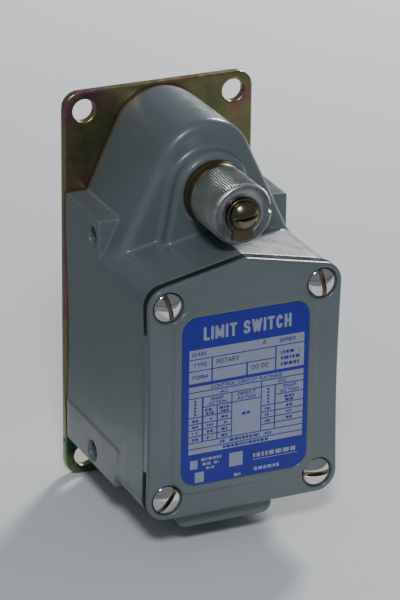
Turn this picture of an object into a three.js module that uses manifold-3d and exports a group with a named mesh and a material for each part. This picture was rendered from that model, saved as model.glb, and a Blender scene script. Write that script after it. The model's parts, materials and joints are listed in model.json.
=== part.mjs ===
// Heavy-duty rotary limit switch on a mounting plate, as an assembly of separate solids.
// Millimetres. X is right and Z is up as the switch hangs on a wall, and the front faces -Y.
// The origin is the middle of the mounting plate's back face.
import * as THREE from "three";
import { mergeVertices } from "three/addons/utils/BufferGeometryUtils.js";
import Module from "manifold-3d";

const wasm = await Module();
wasm.setup();

// ---- Driving dimensions ----
const GAP = 0.3; // between faces that meet
const RUNNING = 0.1; // radial clearance of a shaft in its bushing
const CLOSE = 0.05; // between pieces that are clamped together
const TOUCH = 0.02; // between a thin sheet and what it lies on
const DEPTH_OVERRUN = 1; // how far a cutting tool reaches past a face
const FAR = 100; // past every face of the part

const plate = { width: 76.2, height: 155.4, thick: 3.5, corner: 6.35, holeR: 4.35, holeX: 30.2, holeZ: 70.3 };
const backGasket = { thick: 0.6 };
const screwPitch = { x: 30.2, top: 22.35, bottom: -53.4 }; // cover screw places
const body = {
  half: 38.1, corner: 7.9, waist: 0.7, gable: 0.215,
  wall: 4.2, front: -77.3, floor: -10, columnR: 6.4,
};
const turret = { crownR: 19, crownZ: 57.64, slope: 0.467, front: -46.8, edge: 3.5, footZ: 24 };
const turretInside = { wall: 4, frontWall: 4.6, footZ: 18 };
const pad = { crownR: 14.6, slope: 0.19, front: -52.5, back: -40, edge: 1.6, footZ: 28 };
const shaftZ = 51.9;
const upperLug = { inner: 27, top: 39.5, bottom: 22.7, front: -35.9, nose: 3 };
const lowerLug = { top: -44, bottom: -60.6, front: -55.5, shear: 3.6, inner: 30 };
const tappedHole = { r: 3.7, y: -30, upperZ: 31.6, upperDepth: 8, lowerZ: -55, lowerDepth: 11 };
const conduit = { x: -4.85, width: 38.1, bottom: -68.7, top: -52, back: -39, corner: 4 };
const conduitHole = { r: 12.3, y: -58, top: -54 };
const gasket = { thick: 2.6, inset: 0.25, rim: 5.4, bossR: 6, lipInset: 2.4, lipTop: 12, lipBottom: -42 };
const cover = {
  back: -80.2, face: -82.4, edge: 0.9, pad: 0.6,
  padHalf: 28.2, padTop: 20.2, padBottom: -52, padR: 8,
};
const label = { half: 25, top: 17.2, bottom: -48.8, corner: 6, thick: 0.3, recess: 0.45, margin: 0.2 };
const coverScrew = { headR: 5.75, headH: 2.7, seat: 0.7, shankR: 3, tip: -64, slot: 1.3, slotDepth: 1.5 };
const coverScrewHole = { r: 3.3, recessR: 6.3, spare: 2 };
const shaft = {
  knurlR: 11.75, front: -78.3, knurlBack: -58, journalR: 6.35,
  shoulder: -20.4, rearR: 5, chamfer: 0.9,
};
const shaftEnd = {
  holeR: 3.4, holeDepth: 16, stepR: 7.6, step: 1,
  notchDeep: 1.2, notchHalf: 1.5, notchLong: 5,
};
const collar = { backR: 12.1, middleR: 11.9, frontR: 11.2, middle: 3.4, bore: 6.6 };
const endScrew = { headR: 5.6, headH: 3.5, shankR: 3, length: 14, slot: 1.3, slotAngle: 6 };
const washer = {
  r: 6.5, bore: 3.25, thick: 0.6, tongueR: 10.6,
  tongueHalf: 3.6, tongueTop: 4.6, from: 244, to: 296,
};
const bushing = { outerR: 8.5, front: -50, back: -41, flangeR: 11, flange: 1.8, boreBack: -38 };
const rearBush = { r: 7, front: -16.6, back: -8.6, spare: 0.5 };
const rearBoss = { r: 11, front: -17 };
const seal = { r: 8.5, front: -52.2, back: -50.3 };
const thrust = { r: 9.4, front: -35.8, back: -34.9 };
const retainer = { r: 8.6, front: -20.1, back: -18.9 };
const shaftSpring = { turns: 2.2, r: 9.4, y: -38.3, length: 1.8, wire: 0.4 };
const cam = { y0: -30, y1: -22, rest: 12, rise: 1.91, sweep: 88, hubR: 9.6, hubFront: -34.6, fit: 0.2 };
const camPin = { r: 1.4, y: -32.4, half: 9.2, fit: 0.2 };
const roller = { r: 5, half: 3.4, y: -26, pinR: 1.5, bore: 1.58, camGap: 0.15, sideGap: 0.25 };
const plunger = {
  r: 3, cheek: 1.7, half: 4, forkBottom: 23.5,
  forkFloor: 27.7, forkTop: 38, tip: -16.2, pinFit: 0.15,
};
const block = { half: 23, front: -40, back: -10.3, top: 5.5, bottom: -50, slotHalf: 20.5, slotBack: -22.5 };
const contact = {
  z: -20, half: 18, front: -29.6, back: -24.4,
  thick: 1.2, button: 0.9, buttonR: 2, buttonX: 15.5,
};
const strip = { gap: 2.7, thick: 1.4, half: 4.4, back: -23.2, lift: 0.1, end: 4.6, holeR: 2.2 };
const clamp = { half: 3.9, thick: 0.9 };
const carrier = {
  half: 5.4, top: -12.6, bottom: -27.4, front: -32,
  back: -22, slotFront: -30, slotBack: -24, fit: 0.25,
};
const contactCoil = { turns: 5, r: 3.4, wire: 0.45, y: -27, end: 0.8 };
const channel = { half: 6.2, top: 0, bottom: -44, back: -21 };
const smallScrew = { shankR: 1.9, headR: 3.7, headH: 2.3, slot: 0.9, slotDepth: 1 };
const smallScrewHole = { r: 2.4, housingFloor: -6.2 };
const groundBoss = { x: 28.6, z: -12, r: 5, front: -36, depth: 8 };

// ---- Shape helpers ----
const group = new THREE.Group();
const turn = (degrees) => (degrees * Math.PI) / 180;

// A three.js geometry as a manifold solid.
function solid(geometry) {
  const bare = geometry.clone();
  for (const name of Object.keys(bare.attributes)) if (name !== "position") bare.deleteAttribute(name);
  const merged = mergeVertices(bare, 1e-4);
  const mesh = new wasm.Mesh({
    numProp: 3,
    vertProperties: new Float32Array(merged.attributes.position.array),
    triVerts: new Uint32Array(merged.index.array),
  });
  return new wasm.Manifold(mesh);
}

// A manifold solid as a three.js geometry.
function geometryOf(shape) {
  const mesh = shape.getMesh();
  const positions = new Float32Array(mesh.numVert * 3);
  for (let i = 0; i < mesh.numVert; i++) {
    positions.set(mesh.vertProperties.subarray(i * mesh.numProp, i * mesh.numProp + 3), i * 3);
  }
  const geometry = new THREE.BufferGeometry();
  geometry.setAttribute("position", new THREE.BufferAttribute(positions, 3));
  geometry.setIndex(new THREE.BufferAttribute(new Uint32Array(mesh.triVerts), 1));
  geometry.computeVertexNormals();
  return geometry;
}

// A block between two corners.
function box(x0, x1, y0, y1, z0, z1) {
  const geometry = new THREE.BoxGeometry(Math.abs(x1 - x0), Math.abs(y1 - y0), Math.abs(z1 - z0));
  return solid(geometry.translate((x0 + x1) / 2, (y0 + y1) / 2, (z0 + z1) / 2));
}

// A cylinder or cone along Y: y0 and y1 are its ends, r0 and r1 its radii there.
function rodY(r0, y0, y1, x, z, r1 = r0, sides = 24) {
  const [low, high] = y0 < y1 ? [r0, r1] : [r1, r0];
  const geometry = new THREE.CylinderGeometry(high, low, Math.abs(y1 - y0), sides);
  return solid(geometry.translate(x, (y0 + y1) / 2, z));
}

// A cylinder along Z.
function rodZ(r, z0, z1, x, y, sides = 24) {
  const geometry = new THREE.CylinderGeometry(r, r, Math.abs(z1 - z0), sides);
  return solid(geometry.rotateX(Math.PI / 2).translate(x, y, (z0 + z1) / 2));
}

// A cylinder along X.
function rodX(r, x0, x1, y, z, sides = 20) {
  const geometry = new THREE.CylinderGeometry(r, r, Math.abs(x1 - x0), sides);
  return solid(geometry.rotateZ(Math.PI / 2).translate((x0 + x1) / 2, y, z));
}

// An outline in X and Z, extruded along Y between two depths, with optional bevelled ends.
function slab(points, back, front, bevel = 0) {
  const shape = new THREE.Shape(points);
  const geometry = new THREE.ExtrudeGeometry(shape, {
    depth: Math.abs(front - back) - 2 * bevel,
    bevelEnabled: bevel > 0,
    bevelThickness: bevel,
    bevelSize: bevel,
    bevelOffset: -bevel,
    bevelSegments: 3,
    steps: 1,
  });
  return solid(geometry.translate(0, 0, bevel).rotateX(Math.PI / 2).translate(0, Math.max(back, front), 0));
}

// A slab that is bevelled at its front end only.
function frontBevelSlab(points, back, front, bevel) {
  const deep = slab(points, back + 2 * bevel + DEPTH_OVERRUN, front, bevel);
  return deep.subtract(box(-FAR, FAR, back, back + FAR, -FAR, FAR));
}

// A profile of [radius, distance along the axis] points, turned round the Y axis at (x, z).
function turned(profile, x, z, sides = 40) {
  const points = profile.map(([r, y]) => new THREE.Vector2(r, y));
  return solid(new THREE.LatheGeometry(points, sides).translate(x, 0, z));
}

// A flat ring along Y.
function ringY(outer, inner, y0, y1, x, z, sides = 28) {
  return rodY(outer, y0, y1, x, z, outer, sides).subtract(
    rodY(inner, Math.min(y0, y1) - DEPTH_OVERRUN, Math.max(y0, y1) + DEPTH_OVERRUN, x, z, inner, sides),
  );
}

// Points of an arc, angles in degrees from +X.
function arc(x, z, r, from, to, steps = 8) {
  return Array.from({ length: steps + 1 }, (_, i) => {
    const angle = turn(from + ((to - from) * i) / steps);
    return new THREE.Vector2(x + r * Math.cos(angle), z + r * Math.sin(angle));
  });
}

function roundedRect(x0, x1, z0, z1, r, steps = 6) {
  return [
    ...arc(x0 + r, z0 + r, r, 180, 270, steps),
    ...arc(x1 - r, z0 + r, r, 270, 360, steps),
    ...arc(x1 - r, z1 - r, r, 0, 90, steps),
    ...arc(x0 + r, z1 - r, r, 90, 180, steps),
  ];
}

const gableAngle = (Math.atan(body.gable) * 180) / Math.PI;

// Height of the roof ridge for an outline moved in by inset.
function ridgeZ(inset) {
  const rise = (body.corner - inset) / Math.cos(turn(gableAngle));
  return screwPitch.top + rise + body.gable * screwPitch.x;
}

// The shared outline of housing, gasket and cover: round corners about the cover screws,
// a low gable on top and slightly waisted sides.
function bodyOutline(inset) {
  const r = body.corner - inset;
  const side = (sign) =>
    Array.from({ length: 7 }, (_, i) => {
      const t = (i + 1) / 8;
      const half = body.half - inset - body.waist * Math.sin(Math.PI * t);
      const z = screwPitch.bottom + (screwPitch.top - screwPitch.bottom) * (sign > 0 ? t : 1 - t);
      return new THREE.Vector2(sign * half, z);
    });
  return [
    ...arc(-screwPitch.x, screwPitch.bottom, r, 180, 270, 6),
    ...arc(screwPitch.x, screwPitch.bottom, r, 270, 360, 6),
    ...side(1),
    ...arc(screwPitch.x, screwPitch.top, r, 0, 90 - gableAngle, 6),
    new THREE.Vector2(0, ridgeZ(inset)),
    ...arc(-screwPitch.x, screwPitch.top, r, 90 + gableAngle, 180, 6),
    ...side(-1),
  ];
}

// A round crown on two straight legs that spread downwards.
function crownOutline(r, crownZ, slope, footZ) {
  const lean = (Math.atan(slope) * 180) / Math.PI;
  const crown = arc(0, crownZ, r, lean, 180 - lean, 18);
  const foot = crown[0].x + slope * (crown[0].y - footZ);
  return [new THREE.Vector2(foot, footZ), ...crown, new THREE.Vector2(-foot, footZ)];
}

const coverScrewPlaces = [
  [-screwPitch.x, screwPitch.top],
  [screwPitch.x, screwPitch.top],
  [-screwPitch.x, screwPitch.bottom],
  [screwPitch.x, screwPitch.bottom],
];

const finishes = {
  zinc: { color: 0x8a8452, roughness: 0.35, metalness: 0.9 },
  fibre: { color: 0x5a3a26, roughness: 0.85, metalness: 0 },
  enamel: { color: 0x5c676c, roughness: 0.45, metalness: 0 },
  steel: { color: 0xb9bdb8, roughness: 0.3, metalness: 1 },
  darkSteel: { color: 0x5d5648, roughness: 0.35, metalness: 1 },
  rubber: { color: 0x141414, roughness: 0.8, metalness: 0 },
  bronze: { color: 0x6b4c26, roughness: 0.4, metalness: 0.9 },
  brass: { color: 0xb08b46, roughness: 0.3, metalness: 1 },
  phenolic: { color: 0x2b1f19, roughness: 0.5, metalness: 0 },
  label: { color: 0x1c2c96, roughness: 0.3, metalness: 0.1 },
  green: { color: 0x2f6b3a, roughness: 0.4, metalness: 0.3 },
};

function add(name, shape, finish) {
  const mesh = new THREE.Mesh(geometryOf(shape), new THREE.MeshStandardMaterial(finishes[finish]));
  mesh.name = name;
  group.add(mesh);
}

// ---- Mounting plate, its screws and the fibre sheet behind the housing ----
const plateFront = -plate.thick;
const gasketBack = plateFront - TOUCH;
const housingBack = plateFront - backGasket.thick - CLOSE;
const plateScrew = { r: 2.4, headR: 4.6, headH: 2.4, sunk: 0.2, tip: -9.2, clearR: 2.7, spare: 0.4 };
const plateScrewSlot = { half: 0.5, floor: -1.1 };
const plateScrewPlaces = [
  [-18, 44],
  [18, 44],
  [-29, -40],
  [29, -40],
];

function mountingPlate() {
  const h = plate.height / 2;
  let shape = slab(roundedRect(-plate.width / 2, plate.width / 2, -h, h, plate.corner), 0, plateFront);
  for (const sx of [-1, 1]) {
    for (const sz of [-1, 1]) {
      const hole = rodY(plate.holeR, 1, plateFront - 1, sx * plate.holeX, sz * plate.holeZ);
      shape = shape.subtract(hole);
    }
  }
  for (const [x, z] of plateScrewPlaces) {
    shape = shape.subtract(rodY(plateScrew.clearR, 1, plateFront - 1, x, z, plateScrew.clearR, 20));
    shape = shape.subtract(
      rodY(plateScrew.headR + 2 * GAP, GAP, -plateScrew.headH - GAP, x, z, plateScrew.clearR, 20),
    );
  }
  return shape;
}

function plateScrewAt(x, z) {
  const profile = [
    [0, plateScrew.tip],
    [plateScrew.r, plateScrew.tip],
    [plateScrew.r, -plateScrew.headH],
    [plateScrew.headR, -plateScrew.sunk],
    [0, -plateScrew.sunk],
  ];
  const { half, floor } = plateScrewSlot;
  const reach = plateScrew.headR + DEPTH_OVERRUN;
  const slot = box(x - half, x + half, floor, DEPTH_OVERRUN, z - reach, z + reach);
  return turned(profile, x, z, 20).subtract(slot);
}

function backGasketShape() {
  const back = gasketBack;
  const front = back - backGasket.thick;
  let shape = slab(bodyOutline(0), back, front);
  shape = shape.add(slab(crownOutline(turret.crownR, turret.crownZ, turret.slope, turret.footZ), back, front));
  for (const sign of [-1, 1]) {
    const { inner, top, bottom } = upperLug;
    shape = shape.add(box(sign * inner, sign * body.half, back, front, bottom, top));
    shape = shape.add(box(sign * lowerLug.inner, sign * body.half, back, front, lowerLug.bottom, lowerLug.top));
  }
  const r = plateScrew.clearR;
  for (const [x, z] of plateScrewPlaces) shape = shape.subtract(rodY(r, 0, front - DEPTH_OVERRUN, x, z, r, 20));
  return shape.subtract(box(-FAR, FAR, front - DEPTH_OVERRUN, 0, -FAR, lowerLug.bottom));
}

// ---- Housing ----
// Turns a shape extruded along Z so that its own X, Y and Z run along Y, Z and X, starting at x.
function standOnSide(geometry, x) {
  return solid(geometry.applyMatrix4(new THREE.Matrix4().set(0, 0, 1, x, 1, 0, 0, 0, 0, 1, 0, 0, 0, 0, 0, 1)));
}

function upperLugShape(sign) {
  const { inner, top, bottom, front, nose } = upperLug;
  const side = [
    new THREE.Vector2(inner, housingBack),
    new THREE.Vector2(body.half, housingBack),
    new THREE.Vector2(body.half, front),
    new THREE.Vector2(inner, front),
  ];
  const nose45 = nose * Math.SQRT1_2;
  const prism = new THREE.ExtrudeGeometry(new THREE.Shape(side), { depth: top - bottom, bevelEnabled: false });
  let shape = solid(prism.translate(0, 0, bottom));
  const wedge = new THREE.Shape([
    new THREE.Vector2(front - 1, top - nose),
    new THREE.Vector2(front, top - nose),
    new THREE.Vector2(front + nose - nose45, top - nose + nose45),
    new THREE.Vector2(front + nose, top),
    new THREE.Vector2(front + nose, top + 1),
    new THREE.Vector2(front - 1, top + 1),
  ]);
  const cut = new THREE.ExtrudeGeometry(wedge, { depth: body.half, bevelEnabled: false });
  shape = shape.subtract(standOnSide(cut, inner - DEPTH_OVERRUN));
  return sign > 0 ? shape : shape.mirror([1, 0, 0]);
}

function lowerLugShape(sign) {
  const { top, bottom, front, shear, inner } = lowerLug;
  const face = [
    new THREE.Vector2(housingBack, bottom),
    new THREE.Vector2(front + shear, bottom),
    new THREE.Vector2(front, top),
    new THREE.Vector2(housingBack, top),
  ];
  const prism = new THREE.ExtrudeGeometry(new THREE.Shape(face), { depth: body.half - inner, bevelEnabled: false });
  const shape = standOnSide(prism, inner);
  return sign > 0 ? shape : shape.mirror([1, 0, 0]);
}

function housingOutside() {
  let shape = slab(bodyOutline(0), housingBack, body.front);
  const crown = crownOutline(turret.crownR, turret.crownZ, turret.slope, turret.footZ);
  shape = shape.add(frontBevelSlab(crown, housingBack, turret.front, turret.edge));
  const padOutline = crownOutline(pad.crownR, shaftZ, pad.slope, pad.footZ);
  shape = shape.add(frontBevelSlab(padOutline, pad.back, pad.front, pad.edge));
  const hub = conduit.width / 2;
  const hubOutline = roundedRect(conduit.x - hub, conduit.x + hub, conduit.bottom, conduit.top, conduit.corner);
  shape = shape.add(slab(hubOutline, conduit.back, body.front));
  for (const sign of [-1, 1]) shape = shape.add(upperLugShape(sign)).add(lowerLugShape(sign));
  return shape;
}

// Wiring space, open at the front, with a column left round each cover screw and two bosses at the back.
function wiringSpace() {
  let hollow = slab(bodyOutline(body.wall), body.floor, body.front - DEPTH_OVERRUN);
  for (const [x, z] of coverScrewPlaces) hollow = hollow.subtract(rodY(body.columnR, 0, -FAR, x, z));
  const { wall, frontWall, footZ } = turretInside;
  const inside = crownOutline(turret.crownR - wall, turret.crownZ, turret.slope, footZ);
  hollow = hollow.add(slab(inside, body.floor, turret.front + frontWall));
  hollow = hollow.subtract(rodY(rearBoss.r, 0, rearBoss.front, 0, shaftZ));
  return hollow.subtract(rodY(groundBoss.r, 0, groundBoss.front, groundBoss.x, groundBoss.z, groundBoss.r, 20));
}

function bushingBores() {
  const frontR = bushing.outerR + GAP;
  const front = rodY(frontR, pad.front - DEPTH_OVERRUN, bushing.boreBack, 0, shaftZ, frontR, 40);
  const rear = rodY(rearBush.r + GAP, rearBoss.front - DEPTH_OVERRUN, rearBush.back + rearBush.spare, 0, shaftZ);
  return front.add(rear);
}

// Holes for the cover screws, plate screws, block screws and ground screw, and those in the side lugs.
function screwHoles() {
  const holes = [];
  const { r, spare } = coverScrewHole;
  for (const [x, z] of coverScrewPlaces) {
    holes.push(rodY(r, body.front - DEPTH_OVERRUN, coverScrew.tip + spare, x, z, r, 20));
  }
  const plateR = plateScrew.clearR;
  for (const [x, z] of plateScrewPlaces) {
    holes.push(rodY(plateR, 0, plateScrew.tip - plateScrew.spare, x, z, plateR, 20));
  }
  const smallR = smallScrew.shankR + GAP;
  for (const [x, z] of blockScrewPlaces) {
    holes.push(rodY(smallR, smallScrewHole.housingFloor, body.floor - 2 * DEPTH_OVERRUN, x, z, smallR, 16));
  }
  const { front, depth } = groundBoss;
  holes.push(rodY(smallR, front - DEPTH_OVERRUN, front + depth, groundBoss.x, groundBoss.z, smallR, 16));
  for (const sign of [-1, 1]) {
    const mouth = sign * (body.half + DEPTH_OVERRUN);
    const { y, upperZ, upperDepth, lowerZ, lowerDepth } = tappedHole;
    holes.push(rodX(tappedHole.r, mouth, sign * (body.half - upperDepth), y, upperZ));
    holes.push(rodX(tappedHole.r, mouth, sign * (body.half - lowerDepth), y, lowerZ));
  }
  return holes;
}

function housingShape() {
  let shape = housingOutside().subtract(wiringSpace()).subtract(bushingBores());
  const { r, y, top } = conduitHole;
  shape = shape.subtract(rodZ(r, conduit.bottom - DEPTH_OVERRUN, top, conduit.x, y, 40));
  for (const hole of screwHoles()) shape = shape.subtract(hole);
  return shape;
}

// ---- Cover, its gasket, screws and nameplate ----
function coverLips(inset, back, front) {
  const lips = [-1, 1].map((sign) => {
    const outer = sign * (body.half - body.waist - inset);
    const inner = sign * (body.half - gasket.lipInset);
    return box(outer, inner, back, front, gasket.lipBottom, gasket.lipTop);
  });
  return lips[0].add(lips[1]);
}

function coverGasket() {
  const back = body.front - CLOSE;
  const front = back - gasket.thick;
  const past = [back + DEPTH_OVERRUN, front - DEPTH_OVERRUN];
  let shape = slab(bodyOutline(gasket.inset), back, front);
  shape = shape.subtract(slab(bodyOutline(gasket.rim), ...past));
  for (const [x, z] of coverScrewPlaces) shape = shape.add(rodY(gasket.bossR, back, front, x, z));
  const { r } = coverScrewHole;
  for (const [x, z] of coverScrewPlaces) shape = shape.subtract(rodY(r, ...past, x, z, r, 20));
  for (const sign of [-1, 1]) {
    const notch = sign * (body.half - gasket.lipInset - GAP);
    const reach = [gasket.lipBottom - GAP, gasket.lipTop + GAP];
    shape = shape.subtract(box(notch, sign * FAR, ...past, ...reach));
  }
  return shape;
}

function coverShape() {
  const padFace = cover.face - cover.pad;
  let shape = frontBevelSlab(bodyOutline(0), cover.back, cover.face, cover.edge);
  shape = shape.add(coverLips(0, body.front - GAP, cover.back - DEPTH_OVERRUN / 2));
  const padPoints = roundedRect(-cover.padHalf, cover.padHalf, cover.padBottom, cover.padTop, cover.padR);
  shape = shape.add(slab(padPoints, cover.face + DEPTH_OVERRUN, padFace));
  const wide = label.half + label.margin;
  const low = label.bottom - label.margin;
  const high = label.top + label.margin;
  const recessPoints = roundedRect(-wide, wide, low, high, label.corner + label.margin);
  shape = shape.subtract(slab(recessPoints, padFace + label.recess, padFace - DEPTH_OVERRUN));
  const { r, recessR } = coverScrewHole;
  for (const [x, z] of coverScrewPlaces) {
    shape = shape.subtract(rodY(recessR, cover.back - coverScrew.seat, -FAR, x, z));
    shape = shape.subtract(rodY(r, cover.back + DEPTH_OVERRUN, -FAR, x, z, r, 20));
  }
  return shape;
}

function nameplate() {
  const back = cover.face - cover.pad + label.recess - TOUCH;
  const outline = roundedRect(-label.half, label.half, label.bottom, label.top, label.corner);
  return slab(outline, back, back - label.thick);
}

// A domed slotted head: its profile is given as shares of the head's radius and height.
function coverScrewAt(x, z, slotAngle) {
  const seat = cover.back - coverScrew.seat - CLOSE;
  const { headR, headH, shankR, tip, slot, slotDepth } = coverScrew;
  const profile = [
    [0, seat - headH],
    [headR * 0.45, seat - headH * 0.92],
    [headR * 0.75, seat - headH * 0.72],
    [headR * 0.93, seat - headH * 0.45],
    [headR, seat - headH * 0.2],
    [headR, seat],
    [shankR, seat],
    [shankR, tip],
    [0, tip],
  ];
  const cut = new THREE.BoxGeometry(slot, 2 * slotDepth, 4 * headR).rotateY(turn(slotAngle));
  cut.translate(x, seat - headH, z);
  return turned(profile, x, z, 20).subtract(solid(cut));
}

// ---- Shaft group ----
function operatingShaft() {
  const { knurlR, front, knurlBack, journalR, shoulder, rearR, chamfer } = shaft;
  const { holeR, holeDepth, stepR, step, notchDeep, notchHalf, notchLong } = shaftEnd;
  const relief = chamfer / 2;
  const profile = [
    [0, front + holeDepth],
    [holeR, front + holeDepth],
    [holeR, front + step],
    [stepR, front + step],
    [stepR, front],
    [knurlR - chamfer, front],
    [knurlR, front + chamfer],
    [knurlR, knurlBack - relief],
    [knurlR - relief, knurlBack],
    [journalR, knurlBack],
    [journalR, shoulder],
    [rearR, shoulder],
    [rearR, rearBush.back],
    [0, rearBush.back],
  ];
  let shape = turned(profile, 0, shaftZ, 40);
  const notch = [front - DEPTH_OVERRUN, front + notchLong, shaftZ - notchHalf, shaftZ + notchHalf];
  shape = shape.subtract(box(knurlR - notchDeep, knurlR + DEPTH_OVERRUN, ...notch));
  return shape.subtract(rodX(camPin.r + camPin.fit, -2 * knurlR, 2 * knurlR, camPin.y, shaftZ, 16));
}

function shaftCollar() {
  const { backR, middleR, frontR, middle, bore } = collar;
  const back = pad.front - GAP;
  const front = shaft.knurlBack + GAP;
  const profile = [
    [bore, back],
    [bore, front],
    [frontR, front],
    [middleR, pad.front - middle],
    [backR, back],
    [bore, back],
  ];
  return turned(profile, 0, shaftZ, 36);
}

// The head's profile is given as shares of its radius and height.
function shaftEndScrew() {
  const { headR, headH, shankR, length, slot, slotAngle } = endScrew;
  const seat = shaft.front - washer.thick - 3 * CLOSE;
  const profile = [
    [0, seat - headH],
    [headR * 0.43, seat - headH * 0.94],
    [headR * 0.75, seat - headH * 0.74],
    [headR * 0.95, seat - headH * 0.4],
    [headR, seat],
    [shankR, seat],
    [shankR, shaft.front + length],
    [0, shaft.front + length],
  ];
  const cut = new THREE.BoxGeometry(4 * headR, 2 * slot, slot).rotateY(turn(slotAngle));
  return turned(profile, 0, shaftZ, 28).subtract(solid(cut.translate(0, seat - headH, shaftZ)));
}

function lockWasher() {
  const { r, bore, thick, tongueR, tongueHalf, tongueTop, from, to } = washer;
  const back = shaft.front - CLOSE;
  const tongue = [
    new THREE.Vector2(-tongueHalf, shaftZ - tongueTop),
    ...arc(0, shaftZ, tongueR, from, to),
    new THREE.Vector2(tongueHalf, shaftZ - tongueTop),
  ];
  const disc = rodY(r, back, back - thick, 0, shaftZ).add(slab(tongue, back, back - thick));
  return disc.subtract(rodY(bore, back + DEPTH_OVERRUN, back - thick - DEPTH_OVERRUN, 0, shaftZ));
}

// The cam's working edge is the inner offset of the path of the roller's centre, a spiral whose
// radius grows in proportion to the angle, so the plunger moves in proportion to the shaft's turn.
function camShape() {
  const reach = roller.r + roller.camGap;
  const steps = 28;
  const edge = Array.from({ length: steps + 1 }, (_, i) => {
    const phi = turn(-cam.sweep + (2 * cam.sweep * i) / steps);
    const rho = cam.rest + reach + cam.rise * phi;
    const radial = new THREE.Vector2(Math.sin(phi), -Math.cos(phi));
    const tangent = new THREE.Vector2(Math.cos(phi), Math.sin(phi));
    const along = radial.clone().multiplyScalar(cam.rise).addScaledVector(tangent, rho).normalize();
    const outward = new THREE.Vector2(along.y, -along.x);
    return radial.multiplyScalar(rho).addScaledVector(outward, -reach).add(new THREE.Vector2(0, shaftZ));
  });
  const crown = arc(0, shaftZ, cam.hubR, 20, 160, 12);
  let shape = slab([...edge, ...crown], cam.y1, cam.y0);
  shape = shape.add(rodY(cam.hubR, cam.y0 + DEPTH_OVERRUN, cam.hubFront, 0, shaftZ));
  const bore = shaft.journalR + cam.fit;
  shape = shape.subtract(rodY(bore, 0, -FAR, 0, shaftZ, bore, 48));
  return shape.subtract(rodX(camPin.r + camPin.fit, -2 * cam.hubR, 2 * cam.hubR, camPin.y, shaftZ, 16));
}

function frontBushing() {
  const { outerR, front, back, flangeR, flange } = bushing;
  const bore = shaft.journalR + RUNNING;
  const profile = [
    [bore, front],
    [outerR, front],
    [outerR, back],
    [flangeR, back],
    [flangeR, back + flange],
    [bore, back + flange],
    [bore, front],
  ];
  return turned(profile, 0, shaftZ, 48);
}

function rearBushing() {
  return ringY(rearBush.r, shaft.rearR + RUNNING, rearBush.front, rearBush.back, 0, shaftZ, 48);
}

// A round wire along a helix. The place of a point is a function of the turn and the share of the length.
function coilSpring(turns, wireR, steps, placeAt) {
  class Coil extends THREE.Curve {
    getPoint(t) {
      return placeAt(2 * Math.PI * turns * t, t);
    }
  }
  const sides = 6;
  const wire = new THREE.Shape(arc(0, 0, wireR, 0, 360, sides).slice(0, sides));
  return solid(new THREE.ExtrudeGeometry(wire, { steps, extrudePath: new Coil(), bevelEnabled: false }));
}

function returnSpring() {
  const { turns, r, y, length, wire } = shaftSpring;
  return coilSpring(turns, wire, 36, (angle, t) => {
    return new THREE.Vector3(r * Math.cos(angle), y + length * t, shaftZ + r * Math.sin(angle));
  });
}

// ---- Plunger group ----
const rollerZ = shaftZ - cam.rest - roller.r - roller.camGap;
const forkInner = roller.half + roller.sideGap;

function plungerShape() {
  const { r, cheek, half, forkBottom, forkFloor, forkTop, tip, pinFit } = plunger;
  const y0 = roller.y - forkInner - cheek;
  const y1 = roller.y + forkInner + cheek;
  const wide = half + DEPTH_OVERRUN;
  let shape = box(-half, half, y0, y1, forkBottom, forkTop);
  const fork = [roller.y - forkInner, roller.y + forkInner, forkFloor, forkTop + DEPTH_OVERRUN];
  shape = shape.subtract(box(-wide, wide, ...fork));
  shape = shape.add(rodZ(r, tip, forkBottom + DEPTH_OVERRUN, 0, roller.y, 24));
  const bore = roller.pinR + pinFit;
  return shape.subtract(rodY(bore, y0 - DEPTH_OVERRUN, y1 + DEPTH_OVERRUN, 0, rollerZ, bore, 20));
}

function contactCarrier() {
  const { half, top, bottom, front, back, slotFront, slotBack, fit } = carrier;
  let shape = box(-half, half, front, back, bottom, top);
  const slotHalf = contact.thick / 2 + GAP;
  const slot = [slotFront, slotBack, contact.z - slotHalf, contact.z + slotHalf];
  shape = shape.subtract(box(-half - DEPTH_OVERRUN, half + DEPTH_OVERRUN, ...slot));
  return shape.subtract(rodZ(plunger.r + fit, plunger.tip - GAP, top + DEPTH_OVERRUN, 0, roller.y, 24));
}

function contactBridge() {
  const { z, half, front, back, thick, button, buttonR, buttonX } = contact;
  const middle = (front + back) / 2;
  let shape = box(-half, half, front, back, z - thick / 2, z + thick / 2);
  for (const sign of [-1, 1]) {
    const reach = thick / 2 + button;
    shape = shape.add(rodZ(buttonR, z - reach, z + reach, sign * buttonX, middle, 20));
  }
  return shape;
}

// ---- Contact block and terminals ----
const stripInner = contact.thick / 2 + contact.button + strip.gap;
const stripOuter = stripInner + strip.thick;

function contactBlock() {
  const { half, front, back, top, bottom, slotHalf, slotBack } = block;
  const open = front - DEPTH_OVERRUN;
  let shape = box(-half, half, front, back, bottom, top);
  shape = shape.subtract(box(-channel.half, channel.half, open, channel.back, channel.bottom, channel.top));
  const slot = stripOuter + GAP;
  shape = shape.subtract(box(-slotHalf, slotHalf, open, slotBack, contact.z - slot, contact.z + slot));
  shape = shape.subtract(rodZ(plunger.r + GAP, channel.top - DEPTH_OVERRUN, top + DEPTH_OVERRUN, 0, roller.y));
  const terminalR = smallScrew.shankR + 2 * CLOSE;
  for (const [x, z] of terminalPlaces) {
    shape = shape.subtract(rodY(terminalR, open, front + terminal.holeDepth, x, z, terminalR, 16));
  }
  const { r } = smallScrewHole;
  for (const [x, z] of blockScrewPlaces) {
    shape = shape.subtract(rodY(r, open, back + DEPTH_OVERRUN, x, z, r, 16));
  }
  return shape;
}

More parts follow.
